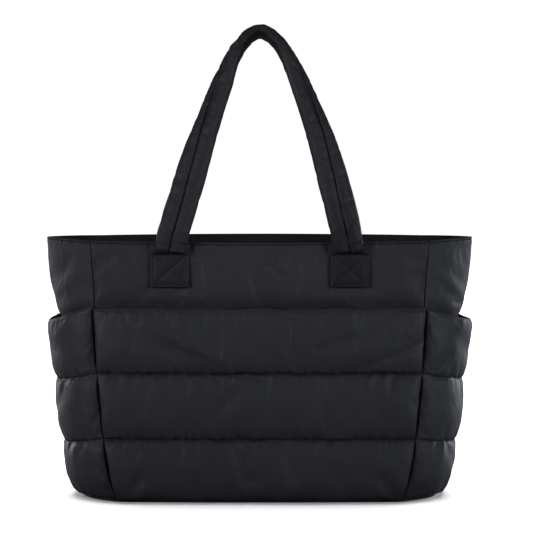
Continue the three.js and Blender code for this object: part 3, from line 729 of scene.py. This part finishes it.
def paddedHandle(name, spacing, rise, lean, turn, seed, node):
    centres = handlePath(spacing, rise, lean)
    along = np.gradient(centres, axis=0)
    along /= np.linalg.norm(along, axis=1, keepdims=True)
    z = centres[:, 2]
    share = np.clip((z - bag["height"]) / rise, 0, 1)
    across = np.clip(2 * centres[:, 0] / bag["panelWidth"], -1, 1)
    tangentX, tangentY = panelAxes(False, across, bag["height"] + 0 * z)
    front = np.stack([tangentY * (1 - share), -tangentX, 0 * z], axis=1)
    front -= along * np.sum(front * along, axis=1, keepdims=True)
    front /= np.linalg.norm(front, axis=1, keepdims=True)
    outwards = -np.cross(along, front)
    topShare = smooth(share, 0.75, 1)[:, None]
    twist = (share ** handles["twistPower"] * np.pi / 2)[:, None] + handles["topTwist"] * topShare
    out = front * np.cos(twist) + outwards * np.sin(twist)
    wide = np.cross(out, along)
    fill, width, thickness, square = handleSizes(z)
    thickness = thickness * (1 - handles["topFlat"] * smooth(share, 0.9, 1))
    width = width * (1 - handles["topNarrow"] * smooth(share, 0.3, 0.75))
    count = handles["faceSteps"]
    even = np.linspace(-1, 1, count + 1)
    spot = 0.5 * np.abs(even) ** 1.5 * np.sign(even) + 0.5 * np.sin(even * np.pi / 2)
    spots = np.concatenate([spot[:-1], spot[:0:-1]])
    sides = np.concatenate([np.ones(count), -np.ones(count)])
    power = (2 / square)[:, None]
    height = np.maximum(1 - np.abs(spots)[None, :] ** power, 0) ** (1 / power)
    x = width[:, None] / 2 * spots[None, :]
    y = thickness[:, None] / 2 * height * sides[None, :]
    isLow = (z < bag["height"] + 2 * handles["strapFull"])[:, None]
    y = y - (handles["strapThickness"] - thickness[:, None]) / 2 * isLow
    distance = np.concatenate([[0], np.cumsum(np.linalg.norm(np.diff(centres, axis=0), axis=1))])[:, None]
    fillColumn = fill[:, None]
    seamFill = (fill ** 2)[:, None]
    wander = 0.0008 * noiseLine(seed, distance, 0.03)
    seam = np.exp(-((x - wander) / handles["seamWidth"]) ** 2) + 0.2 * np.exp(-((x - wander) / 0.005) ** 2)
    isFront = (sides > 0)[None, :]
    y = y - np.where(isFront, handles["seamDepth"] * seam * seamFill * (0.3 + 0.7 * fillColumn), 0)
    puckers = noiseLine(seed + 1, distance + 0.3 * np.abs(x), 0.0060) * np.exp(-np.abs(x) / 0.008)
    cross = noiseField(seed + 2, distance + 0.25 * x, x * 0.35 + 0.01 * sides[None, :], 0.0085)
    fine = noiseField(seed + 4, distance - 0.5 * x, x * 0.5 + 0.01 * sides[None, :], 0.0042)
    ripple = (0.45 + 0.5 * topShare) * cross + 0.5 * topShare * fine + 0.6 * puckers * isFront
    lobes = 0.0008 * (np.cos(np.pi * (np.abs(x) / (width[:, None] / 2) - 0.5)) - 0.5) * isFront
    bulge = (handles["wrinkle"] * ripple * height + lobes) * fillColumn
    y = y + bulge * sides[None, :]
    x = x * (1 + 0.01 * noiseLine(seed + 3, distance, 0.018) * fillColumn)
    isLeft = (np.arange(len(z)) < len(z) / 2)[:, None]
    tab, tabShade = tabRelief(z, x, isFront, isLeft)
    y = y + tab
    # painted shade in the strap's seam groove
    strapSeamShade = 0.7 * np.exp(-((x - wander) / 0.0008) ** 2) * seamFill * isFront
    # painted shade on the underside of the arch's top, less on the right
    under = smooth(-height * sides[None, :], -0.5, 0.5) * smooth(share, 0.74, 0.94)[:, None]
    under = under * np.where(isLeft, 1, 0.75)
    # painted shade over the right strap's lower end
    foot = tabSewing["strapShade"] * (1 - smooth(z - bag["height"], 0.01, 0.08))[:, None] * ~isLeft
    shade = np.maximum(np.maximum(strapSeamShade, tabShade), np.maximum(handles["underShade"] * under, foot))
    points = centres[:, None, :] + wide[:, None, :] * x[..., None] + out[:, None, :] * y[..., None]
    sewn = np.zeros(points.shape[:2])
    sewn[fill < 0.6] = 1
    sewn[:, count // 2 - 1:count // 2 + 2] = 1
    move = relaxed(points, sewn, handles, ring=True)
    normals = -gridNormals(points)
    swell = np.sum(move * normals, axis=-1)
    window = np.ones(81) / 81  # takes out the swelling that 81 rings have in common

    def smoothed(line):
        return np.convolve(np.pad(line, len(window) // 2, "edge"), window, "valid")

    swell = np.apply_along_axis(smoothed, 0, swell)
    points = points + handles["foldShare"] * (move - swell[..., None] * normals)
    points[..., :2] *= turn
    girth = np.concatenate([[0], np.cumsum(np.hypot(np.diff(x[len(x) // 2]), np.diff(y[len(x) // 2])))])
    uvs = np.stack([girth[None, :] + 0 * distance, distance + 0 * girth[None, :]], axis=-1)
    piece = wallMesh(name, points, materials["strapCloth"], uvs, shade)
    finishPiece(piece, [node])
    return {"face": points[:, :count + 1], "spot": spot * handles["tabWidth"] / 2, "drops": footDrops()}


tabSewing = {"halfWidth": 0.0178, "top": 0.0150, "bottom": 0.0470, "dent": 0.0009, "puff": 0.0004,
             "teethPitch": 0.0036, "teethDeep": 0.0009, "leftShade": 0.36, "rightShade": 0.60,
             "strapShade": 0.42}


def tabRelief(z, x, isFront, isLeft):
    # The box and cross sewn through each tab: dents along the stitches and soft cushions between them, and a
    # painted shade mask along the stitches, in the teeth and over the tab's face.
    drop = bag["height"] - z[:, None]
    w, top, bottom = tabSewing["halfWidth"], tabSewing["top"], tabSewing["bottom"]
    v = (drop - top) / (bottom - top)
    slope = math.hypot(2 * w, bottom - top)
    beyond = np.maximum(np.abs(x) - w, 0)
    toSides = np.abs(np.abs(x) - w) + np.maximum(0, np.maximum(-v, v - 1)) * (bottom - top)
    toEnds = np.minimum(np.hypot(beyond, drop - top), np.hypot(beyond, drop - bottom))
    toBox = np.minimum(toSides, toEnds)
    inside = (v > 0) & (v < 1)
    falling = np.abs(x / w - (2 * v - 1)) * w * (bottom - top) / slope
    rising = np.abs(x / w + (2 * v - 1)) * w * (bottom - top) / slope
    gap = np.where(inside, np.minimum(toBox, np.minimum(falling, rising)), toBox)
    tight = np.where(isLeft, falling, rising)  # the stitch line that is pulled tighter
    deep = np.where(inside, np.minimum(toBox, tight), toBox)
    near = 0.5 * np.exp(-(gap / 0.0013) ** 2) + 0.5 * np.exp(-(deep / 0.0013) ** 2)
    puff = tabSewing["puff"] * (1 - np.exp(-(gap / 0.004) ** 2)) * (inside & (np.abs(x) < w))
    active = drop > top - 0.006
    teeth = np.exp(-((drop - top + 0.0034) / 0.0018) ** 2) * (np.abs(x) < w + 0.001)
    comb = smooth(np.sin(x * 2 * np.pi / tabSewing["teethPitch"]), -0.5, 0.7)
    relief = puff - tabSewing["dent"] * near - tabSewing["teethDeep"] * teeth * comb
    # painted shade over the tab's face below the strap's end, darker on the right tab
    tone = np.where(isLeft, tabSewing["leftShade"], tabSewing["rightShade"])
    flat = tone * smooth(drop, top - 0.003, top) + 0 * x
    # painted shade along the stitch lines, dotted on the lowest row, and dark bars in the teeth under the
    # strap's end
    dots = 0.5 + 0.5 * np.sin((x + drop) * 2 * np.pi / tabSewing["teethPitch"])
    lowRow = np.abs(drop - bottom) < 0.002
    solid = np.where(lowRow, 0.1, 0.65)
    line = np.maximum(0.5 * np.exp(-(gap / 0.0009) ** 2) * np.where(lowRow, dots, 1),
                      (solid + (1 - solid) * dots) * np.exp(-(deep / 0.0012) ** 2))
    shade = np.maximum(np.maximum(line, teeth * (0.1 + 0.9 * comb)), flat)
    return np.where(isFront & active, relief, 0), np.where(isFront & active, shade, 0)


handlePoints = {
    "front": paddedHandle("handleFront", handles["tabSpacing"], handles["rise"],
                          handles["lean"], 1, 31, "handle_front"),
    "back": paddedHandle("handleBack", handles["backTabSpacing"], handles["rise"] + handles["backRise"],
                         -handles["lean"], -1, 41, "handle_back"),
}
print("handles made")

# Body cloth

body = {
    "bottom": 0.0034,
    "split": 0.185,        # the rows of points stand closer above this
    "lowRows": 24,         # even ones below it
    "highRows": 77,
    "crowding": 1.4,       # and they stand closest at the rim
    "hem": 0.014,
    "fold": 0.004,
    "facing": 0.0012,
    "facingGap": 0.0006,
    "edgeRoll": 0.0012,
    "dive": 0.0028,        # how far the cloth goes in behind the pockets' top edges
    "diveLength": 0.016,
    "diveShade": 0.5,
    "hemStitch": 0.0026,   # topstitch below the rim
    "hemDent": 0.0006,
    "hemPucker": 0.0004,
    "spare": 0.015,        # loose cloth of the upper band, which folds softly
    "stiff": 2.0,
    "pressure": 1.0,
    "foldShare": 0.6,
}
frontBodyFolds = [
    (-0.35, 0.96, -0.30, 0.79, 0.018, 0.35),
    (-0.108, 0.92, -0.044, 0.77, 0.018, 0.45),
    (0.20, 0.95, 0.26, 0.78, 0.022, 0.45),
    (0.33, 0.94, 0.30, 0.80, 0.018, 0.3),
    (0.07, 0.90, 0.15, 0.86, 0.016, -0.3),
    (0.44, 0.78, 0.82, 0.77, 0.03, -0.5),
    (-0.86, 0.95, -0.72, 0.8, 0.03, 0.4),
    (0.86, 0.92, 0.76, 0.8, 0.03, 0.4),
    (-0.5, 0.79, -0.36, 0.83, 0.015, 0.25),
]
backBodyFolds = [(-0.25, 0.98, -0.2, 0.8, 0.04, 0.6), (0.15, 0.98, 0.12, 0.82, 0.035, -0.5),
                 (0.78, 0.94, 0.7, 0.79, 0.04, 0.5)]
sideBodyFolds = [(-0.85, 0.88, -0.15, 0.76, 0.03, 0.3), (-0.7, 0.8, -0.1, 0.72, 0.025, -0.25),
                 (0.75, 0.87, 0.2, 0.77, 0.03, 0.3)]


def rimHeight(panelName, across):
    return bag["height"] + bag["rimRise"][panelName] * (1 - across**2)


def bodyRelief(folds, panelName, across, z, width, spacing):
    isSide = panels[panelName][0]
    edge = 1 - np.abs(across) ** 8
    pocket = quilting["height"]
    above = smooth(z, pocket - (quilting["droop"] if isSide else 0), pocket + 0.6 * handles["tabDrop"])
    hem = rimHeight(panelName, across) - body["hem"]
    below = 1 - smooth(z, hem - body["hem"], hem)
    beside = 1
    if not isSide:
        fromTab = np.abs(np.abs(across * width) - spacing) / handles["tabWidth"] - 1
        drop = handles["tabDrop"]
        belowTab = 1 - smooth(z, bag["height"] - 1.5 * drop, bag["height"] - 1.15 * drop)
        beside = np.maximum(smooth(fromTab, 0.1, 1), belowTab)
    return body["fold"] * foldSum(folds, across, z, width) * edge * above * below * beside


def bodyPanel(name, panelName, folds, columns, seed, node, spacing, flat):
    panel = panels[panelName]
    isSide = panel[0]
    across = places(columns)
    lowRows = body["lowRows"]
    low = np.linspace(body["bottom"], body["split"], lowRows)[None, :-1] + 0 * across
    rim = rimHeight(panelName, across)
    climb = 1 - (1 - np.linspace(0, 1, body["highRows"])[None, :]) ** body["crowding"]
    high = mix(body["split"], rim - 0.0010, climb)
    z = np.concatenate([low, high], axis=1)
    width = panelWidth(isSide, z)
    u = across * width / 2
    relief = bodyRelief(folds, panelName, across, z, width, spacing)
    free = smooth(z, quilting["height"] + 0.002, quilting["height"] + 0.012)
    hemFade = 1 - smooth(z, rim - body["hem"], rim - 0.006)
    edge = 1 - np.abs(across) ** 8
    relief = relief + 0.0007 * noiseField(seed, u, z, 0.022) * free * hemFade * edge
    fromTab = np.abs(u) - spacing / 2 * handles["footSpread"] + handles["strapWidth"] / 2 + 0.0035
    hollowAndShade = np.exp(-(fromTab / 0.0035) ** 2) * (1 - smooth(rim - z, 0.002, 0.018)) * (panelName == "front")
    hollowAndShade = hollowAndShade * np.where(u < 0, 0.85, 0.5)  # the strap draws a small hollow in the cloth beside it, which also gets painted shade
    relief = relief - 0.0012 * hollowAndShade
    toPocket = z - quiltHeight(3, isSide, across)
    dive = body["dive"] * (1 - smooth(toPocket, 0, body["diveLength"])) * smooth(z, 0.1, 0.17)
    relief = relief - dive * edge
    toSeam = (1 - np.abs(across)) * width / 2
    roll = body["edgeRoll"] * np.exp(-toSeam / 0.0018)
    toStitch = rim - z - body["hemStitch"]
    dent = body["hemDent"] * np.exp(-(toStitch / 0.0011) ** 2)
    pucker = body["hemPucker"] * noiseLine(seed + 5, u, 0.0036) * np.exp(-(toStitch / 0.0035) ** 2)
    face = layer(panel, across, z, relief - roll - dent + pucker)
    sewn = np.zeros_like(z)
    sewn[[0, -1], :] = 1
    sewn[:, :lowRows + 1] = 1
    sewn[(rim - z < body["hem"])] = 0.6
    sewn[:, -1] = 1
    if not isSide:
        underTab = (np.abs(np.abs(2 * u) - spacing) < handles["tabWidth"]) & (rim - z < handles["tabDrop"])
        sewn[underTab] = 1
    band = face[:, lowRows - 2:]
    move = relaxed(band, sewn[:, lowRows - 2:], body)
    foldShare = body["foldShare"] * (0.5 if isSide else 1)
    band += foldShare * settled(move, gridNormals(band))
    turns = np.linspace(0, np.pi, 9)[None, 1:-1]
    half = bag["wall"] / 2
    lip = layer(panel, across, z[:, -1:] + 0.8 * half * np.sin(turns), -half + half * np.cos(turns))
    rows = np.concatenate([np.arange(z.shape[1] - 1, lowRows - 1, -2), np.arange(lowRows - 3, -1, -4)])
    rows = np.append(rows, 0) if rows[-1] else rows
    inner = layer(panel, across, z[:, rows], relief[:, rows] - bag["wall"])
    loops = np.concatenate([face, lip, inner], axis=1)
    climb = np.concatenate([z, z[:, -1:] + 0 * turns, 2 * bag["height"] - z[:, rows]], axis=1)
    uvs = np.stack([u[:, :1] + 0 * climb, climb], axis=-1)
    comb = 0.5 + 0.5 * np.sin(2 * np.pi * u / thread["pitch"])  # needle holes, where the painted shade along the topstitch is darkest
    # painted shade along the side seams and in the topstitch's dent
    shade = np.maximum(0.9 * np.exp(-toSeam / 0.0012), (0.3 + 0.7 * comb) * np.exp(-(toStitch / 0.0009) ** 2))
    shade = np.maximum(shade, body["diveShade"] * np.exp(-np.maximum(toPocket, 0) / 0.008))
    # painted shade in the hollow beside the strap's foot
    shade = np.maximum(shade, 0.9 * hollowAndShade)
    gapShadow = smooth(noiseLine(seed + 7, u, 0.028), -0.4, 0.5)  # patches of painted shadow in the gap where the pocket's edge stands off the cloth
    shade = np.maximum(shade, 0.85 * gapShadow * np.exp(-np.maximum(toPocket - 0.002, 0) / 0.0022))
    piece = wallMesh(name, loops, materials["bodyCloth"], uvs, shade)
    finishPiece(piece, [node])
    return {"across": across, "z": z, "face": face, "normals": gridNormals(face)}


panelFlat = (bag["panelWidth"], bag["height"])
sideFlat = (0.175, bag["height"])
bodyTable = [  # piece, panel, folds, columns of points, seed, node, spacing of its tabs, flat size
    ("bodyFront", "front", frontBodyFolds, 261, 51, "body_front", handles["tabSpacing"], panelFlat),
    ("bodyBack", "back", backBodyFolds, 261, 52, "body_back", handles["backTabSpacing"], panelFlat),
    ("gussetLeft", "left", sideBodyFolds, 121, 53, "gusset_left", 0, sideFlat),
    ("gussetRight", "right", sideBodyFolds, 121, 54, "gusset_right", 0, sideFlat),
]
bodyFaces = {row[1]: bodyPanel(*row) for row in bodyTable}
print("body cloth made")


def aroundBag(counts, visit):
    # Sections once round the bag, anticlockwise.
    parts = []
    for panelName in ("front", "right", "back", "left"):
        panel = panels[panelName]
        across = places(counts[panel[0]])[:-1]
        parts.append(visit(panelName, panel, across))
    return np.concatenate(parts, axis=0)


def loopMesh(name, loops, material, uvs):
    # A closed ring of sections.
    columns, count = loops.shape[:2]
    here = np.arange(columns)[:, None] * count + np.arange(count)[None, :]
    nextPoint = np.arange(columns)[:, None] * count + (np.arange(count)[None, :] + 1) % count
    size = columns * count
    quads = np.stack([here, (here + count) % size, (nextPoint + count) % size, nextPoint], axis=-1)
    faces = quads.reshape(-1, 4).tolist()
    return addMesh(name, loops.reshape(-1, 3), faces, material, uvs.reshape(-1, 2))


def facingBand():
    outside = -bag["wall"] - body["facingGap"]
    rows = 12

    def visit(panelName, panel, across):
        isSide = panel[0]
        top = rimHeight(panelName, across) - bag["seat"]
        z = mix(top - body["hem"], top, np.linspace(0, 1, rows)[None, :])
        width = panelWidth(isSide, z)
        u = across * width / 2
        wave = 0.0005 * noiseLine(61, u, 0.009) * np.sin(np.linspace(0, np.pi, rows))[None, :]
        outer = layer(panel, across, z, outside + 0 * z)
        inner = layer(panel, across, z[:, ::-1], outside - body["facing"] + wave[:, ::-1] - 0.0003)
        return np.concatenate([outer, inner], axis=1)

    loops = aroundBag({False: 181, True: 81}, visit)
    along = np.linspace(0, 1.3, len(loops))[:, None]
    up = np.linspace(0, 0.03, loops.shape[1])[None, :]
    uvs = np.stack(np.broadcast_arrays(along, up), axis=-1)
    piece = loopMesh("rimFacing", loops, materials["facingCloth"], uvs)
    finishPiece(piece, ["rim_facing"])


facingBand()


def bottomPanel():
    # The flat base, a closed pad of heavier cloth with a softly rounded edge.
    thickness = 0.003
    edgeRound = 0.0012

    def visit(panelName, panel, across):
        x, y = panelPlace(panel[0], across, 0 * across)
        return np.stack([x * panel[1], y * panel[1]], axis=-1)[:, 0]

    outline = aroundBag({False: 121, True: 61}, visit)
    count = len(outline)
    rings = ((0.0, thickness / 2), (0.0, edgeRound), (edgeRound * 0.3, edgeRound * 0.3), (edgeRound, 0.0))
    shares = (0.9, 0.7, 0.45, 0.2)
    tangents = np.roll(outline, -1, axis=0) - np.roll(outline, 1, axis=0)
    tangents /= np.linalg.norm(tangents, axis=1, keepdims=True)
    inwards = np.stack([-tangents[:, 1], tangents[:, 0]], axis=1)
    lines = [np.column_stack([outline + inwards * inset, np.full(count, z)]) for inset, z in rings]
    lines += [np.column_stack([(outline + inwards * edgeRound) * s, np.zeros(count)]) for s in shares]
    upper = []
    for line in lines[1:]:
        mirrored = line.copy()
        mirrored[:, 2] = thickness - mirrored[:, 2]
        upper.append(mirrored)
    ordered = upper[::-1] + lines
    points = np.vstack(ordered)
    faces = []
    for r in range(len(ordered) - 1):
        for i in range(count):
            j = (i + 1) % count
            faces.append([r * count + i, (r + 1) * count + i, (r + 1) * count + j, r * count + j])
    faces.append(list(range(count)))
    last = (len(ordered) - 1) * count
    faces.append([last + i for i in range(count - 1, -1, -1)])
    piece = addMesh("basePanel", points, faces, materials["baseCloth"], points[:, :2].copy())
    finishPiece(piece, ["base_panel"])


bottomPanel()
print("facing and base made")

# Stitches

materials["thread"] = clothMaterial("thread", {
    "low": (0.003, 0.003, 0.004), "high": (0.006, 0.006, 0.008), "rough": (0.7, 0.8), "shine": 0.1,
    "weaveBump": 0.0, "crinkleBump": 0.0})


stitchRound = np.array([0.35, 0.9, 1.0, 0.9, 0.35])  # thickness of a stitch at each of its rings
ringPoints = 5
barThread = {"long": 0.0026, "pitch": 0.1, "thick": 0.0009, "rise": 0.0004}  # one bar over a strap's end
barPitch = 0.0034


def onGrid(grid, column, row):
    # Points of a grid between its own points.
    column = np.clip(column, 0, grid.shape[0] - 1.001)
    row = np.clip(row, 0, grid.shape[1] - 1.001)
    column, row = np.broadcast_arrays(column, row)
    c, r = column.astype(int), row.astype(int)
    u, v = (column - c)[..., None], (row - r)[..., None]
    return mix(mix(grid[c, r], grid[c + 1, r], u), mix(grid[c, r + 1], grid[c + 1, r + 1], u), v)


def stitchRun(line, normals, size=thread):
    # Stitches along a line on the cloth: the rings of one thread each.
    distance = np.concatenate([[0], np.cumsum(np.linalg.norm(np.diff(line, axis=0), axis=1))])
    starts = np.arange(0, distance[-1] - size["long"], size["pitch"]) + 0.0002
    spots = starts[:, None] + np.linspace(0, 1, len(stitchRound))[None, :] * size["long"]

    def atSpots(part):
        return np.stack([np.interp(spots, distance, part[:, k]) for k in range(3)], axis=-1)

    centre, up = atSpots(line), atSpots(normals)
    up /= np.linalg.norm(up, axis=-1, keepdims=True)
    along = np.gradient(centre, axis=1)
    along /= np.linalg.norm(along, axis=-1, keepdims=True)
    aside = np.cross(along, up)
    centre = centre + up * (size["rise"] * (stitchRound - stitchRound[0]))[None, :, None]
    angles = np.arange(ringPoints) * 2 * np.pi / ringPoints
    ring = aside[:, :, None] * np.cos(angles)[:, None] + up[:, :, None] * np.sin(angles)[:, None]
    return centre[:, :, None] + ring * (stitchRound * size["thick"] / 2)[None, :, None, None]


def addStitches(name, runs):
    rings = np.concatenate(runs)
    count = len(rings)
    whole = len(stitchRound) * ringPoints
    ringStarts = np.arange(0, whole - ringPoints, ringPoints)
    here = np.arange(count)[:, None, None] * whole + ringStarts[None, :, None]
    side = np.arange(ringPoints)[None, None, :]
    beside = (side + 1) % ringPoints
    above = here + ringPoints
    quads = np.stack([here + side, here + beside, above + beside, above + side], axis=-1)
    endRings = (range(ringPoints - 1, -1, -1), range(whole - ringPoints, whole))
    ends = [[i * whole + k for k in endRing] for i in range(count) for endRing in endRings]
    faces = quads.reshape(-1, 4).tolist() + ends
    points = rings.reshape(-1, 3)
    piece = addMesh(name, points, faces, materials["thread"], points[:, :2].copy())
    finishPiece(piece)


def rimRow(cloth, panelName):
    # Row numbers of the topstitch below the rim.
    target = rimHeight(panelName, cloth["across"][:, 0]) - body["hemStitch"]
    return np.array([np.interp(t, line, np.arange(len(line))) for t, line in zip(target, cloth["z"])])


def gridLine(cloth, column, row):
    return stitchRun(onGrid(cloth["face"], column, row), onGrid(cloth["normals"], column, row))


rimRuns = []
for panelName, cloth in bodyFaces.items():
    columns = np.arange(2, len(cloth["across"]) - 2)
    rimRuns.append(gridLine(cloth, columns, rimRow(cloth, panelName)[columns]))
addStitches("rimStitches", rimRuns)

quiltRuns = []
for cloth in pocketFaces.values():
    columns = np.arange(2, len(cloth["across"]) - 2)
    quiltRuns += [gridLine(cloth, columns, quilting["rows"] * line + 0.0 * columns) for line in (1, 2)]
addStitches("quiltStitches", quiltRuns)


def tabLine(handle, isLeft, xs, drops):
    # A line on a tab, from its places across and below the rim.
    share = np.linspace(0, 1, 40)
    x, drop = mix(xs[0], xs[1], share), mix(drops[0], drops[1], share)
    ring = np.interp(-drop, -handle["drops"], np.arange(len(handle["drops"])))
    ring = ring if isLeft else handle["face"].shape[0] - 1 - ring
    column = np.interp(-x if isLeft else x, handle["spot"], np.arange(len(handle["spot"])))
    normals = gridNormals(handle["face"])
    return onGrid(handle["face"], ring, column), -onGrid(normals, ring, column)


w, top, bottom = tabSewing["halfWidth"], tabSewing["top"], tabSewing["bottom"]
tabRuns = []
for handle in handlePoints.values():
    for isLeft in (True, False):
        for xs, drops in (((-w, -w), (top, bottom)), ((w, w), (top, bottom)), ((-w, w), (bottom, bottom)),
                          ((-w, w), (bottom, top)), ((-w, w), (top, bottom))):
            tabRuns.append(stitchRun(*tabLine(handle, isLeft, xs, drops)))
        for x in np.arange(-w, w + 0.001, barPitch):
            bar = tabLine(handle, isLeft, (x, x), (top - 0.0042, top - 0.0012))
            tabRuns.append(stitchRun(*bar, barThread))
addStitches("tabStitches", tabRuns)
print("stitches made")

# Stage, light and camera

view = {
    "distance": 2.5,       # camera to the front panel
    "height": 0.41,
    "pitch": 3.45,         # degrees down
    "aside": 0.0076,
    "focalPixels": 2304,
    "framePixels": 533,
}


def addCamera():
    data = bpy.data.cameras.new("camera")
    data.sensor_width = 36
    data.lens = view["focalPixels"] * 36 / view["framePixels"]
    data.clip_end = 50
    camera = bpy.data.objects.new("camera", data)
    camera.location = (view["aside"], -bag["depth"] / 2 - view["distance"], view["height"])
    camera.rotation_euler = (math.radians(90 - view["pitch"]), 0, 0)
    scene.collection.objects.link(camera)
    scene.camera = camera


stage = {
    "half": 12.0,        # floor and wall stand well away, so that other views see them too
    "wall": 9.0,
    "glow": (0.1, 1.0),  # light of its own near the bag and far off, seen by the camera alone
    "fade": (1.0, 3.0),  # from here to there it grows
}


def stageMaterial():
    material = bpy.data.materials.new("paleStage")
    material.use_nodes = True
    tree = material.node_tree
    shader = tree.nodes["Principled BSDF"]
    shader.inputs["Roughness"].default_value = 0.9
    shader.inputs["Specular IOR Level"].default_value = 0.1
    path = tree.nodes.new("ShaderNodeLightPath")
    tone = tree.nodes.new("ShaderNodeMix")
    tone.data_type = "RGBA"
    tone.inputs[6].default_value = (0.12, 0.12, 0.13, 1)
    tone.inputs[7].default_value = (0.93, 0.93, 0.93, 1)
    tree.links.new(path.outputs["Is Camera Ray"], tone.inputs[0])
    tree.links.new(tone.outputs[2], shader.inputs["Base Color"])
    shader.inputs["Emission Color"].default_value = (1, 1, 1, 1)
    place = tree.nodes.new("ShaderNodeTexCoord")
    away = tree.nodes.new("ShaderNodeVectorMath")
    away.operation = "LENGTH"
    tree.links.new(place.outputs["Object"], away.inputs[0])
    glow = tree.nodes.new("ShaderNodeMapRange")
    glow.inputs["From Min"].default_value, glow.inputs["From Max"].default_value = stage["fade"]
    glow.inputs["To Min"].default_value, glow.inputs["To Max"].default_value = stage["glow"]
    tree.links.new(away.outputs["Value"], glow.inputs["Value"])
    seen = mathNode(tree, "MULTIPLY", path.outputs["Is Camera Ray"], glow.outputs[0])
    tree.links.new(seen, shader.inputs["Emission Strength"])
    return material


def addStage():
    # Floor and back wall as one sweep.
    half, near, far, radius, top = stage["half"], -stage["half"], stage["wall"], 1.0, 8.0
    profile = [(near, 0.0)]
    for step in range(17):
        angle = math.pi / 2 * step / 16
        profile.append((far - radius + radius * math.sin(angle), radius - radius * math.cos(angle)))
    profile.append((far, top))
    points = np.array([(x, y, z) for y, z in profile for x in (-half, half)])
    faces = [[2 * i, 2 * i + 1, 2 * i + 3, 2 * i + 2] for i in range(len(profile) - 1)]
    sweep = addMesh("stageSweep", points, faces, stageMaterial())


lamps = [  # name, place, size, watts, colour, aims at, spread in degrees, lights the stage alone
    ("softLeft", (-2.0, -1.6, 0.9), (0.9, 0.7), 2.3, (0.94, 0.96, 1.0), (0, 0, 0.5), 38, False),
    ("softRight", (2.0, -1.6, 0.9), (0.9, 0.7), 2.1, (0.93, 0.96, 1.0), (0, 0, 0.5), 38, False),
    ("softFront", (0.0, -2.6, 1.3), (1.6, 1.0), 0.36, (0.94, 0.96, 1.0), (0, 0, 0.9), 70, False),
    ("lowLeft", (-1.9, -0.5, 0.2), (0.6, 0.4), 0.08, (0.94, 0.96, 1.0), (-0.2, 0, 0.0), 24, False),
    ("lowRight", (1.9, -0.5, 0.2), (0.6, 0.4), 0.14, (0.88, 0.93, 1.0), (0.2, 0, 0.0), 24, False),
    ("edgeLeft", (-1.6, 1.4, 0.3), (0.8, 0.5), 0.70, (0.94, 0.96, 1.0), (-0.2, 0, -0.05), 30, False),
    ("edgeRight", (1.6, 1.4, 0.3), (0.8, 0.5), 0.88, (0.86, 0.92, 1.0), (0.2, 0, -0.05), 30, False),
    ("stageTop", (0.0, 0.7, 2.6), (3.6, 3.0), 215, (1.0, 1.0, 1.0), (0, 0.2, 0.0), 180, True),
]


def addLights():
    stageOnly = bpy.data.collections.new("stageOnly")
    stageOnly.objects.link(bpy.data.objects["stageSweep"])
    for name, place, size, watts, colour, target, spread, isForStage in lamps:
        data = bpy.data.lights.new(name, "AREA")
        data.shape = "RECTANGLE"
        data.size, data.size_y = size
        data.energy = watts
        data.color = colour
        data.spread = math.radians(spread)
        lamp = bpy.data.objects.new(name, data)
        lamp.location = place
        aim = np.array(target) - np.array(place)
        lamp.rotation_euler = Vector(aim).to_track_quat("-Z", "Y").to_euler()
        if isForStage:
            lamp.light_linking.receiver_collection = stageOnly
        scene.collection.objects.link(lamp)
    world = bpy.data.worlds.new("studio")
    world.use_nodes = True
    tree = world.node_tree
    tree.nodes["Background"].inputs[0].default_value = (0.92, 0.95, 1.0, 1)
    # White where the camera looks past the stage, faint as a light
    path = tree.nodes.new("ShaderNodeLightPath")
    strength = tree.nodes.new("ShaderNodeMapRange")
    strength.inputs["To Min"].default_value, strength.inputs["To Max"].default_value = 0.027, 1.1
    tree.links.new(path.outputs["Is Camera Ray"], strength.inputs["Value"])
    tree.links.new(strength.outputs[0], tree.nodes["Background"].inputs[1])
    scene.world = world


addCamera()
addStage()
addLights()
scene.view_settings.view_transform = "Standard"
scene.view_settings.look = "None"
print("stage, light and camera set")
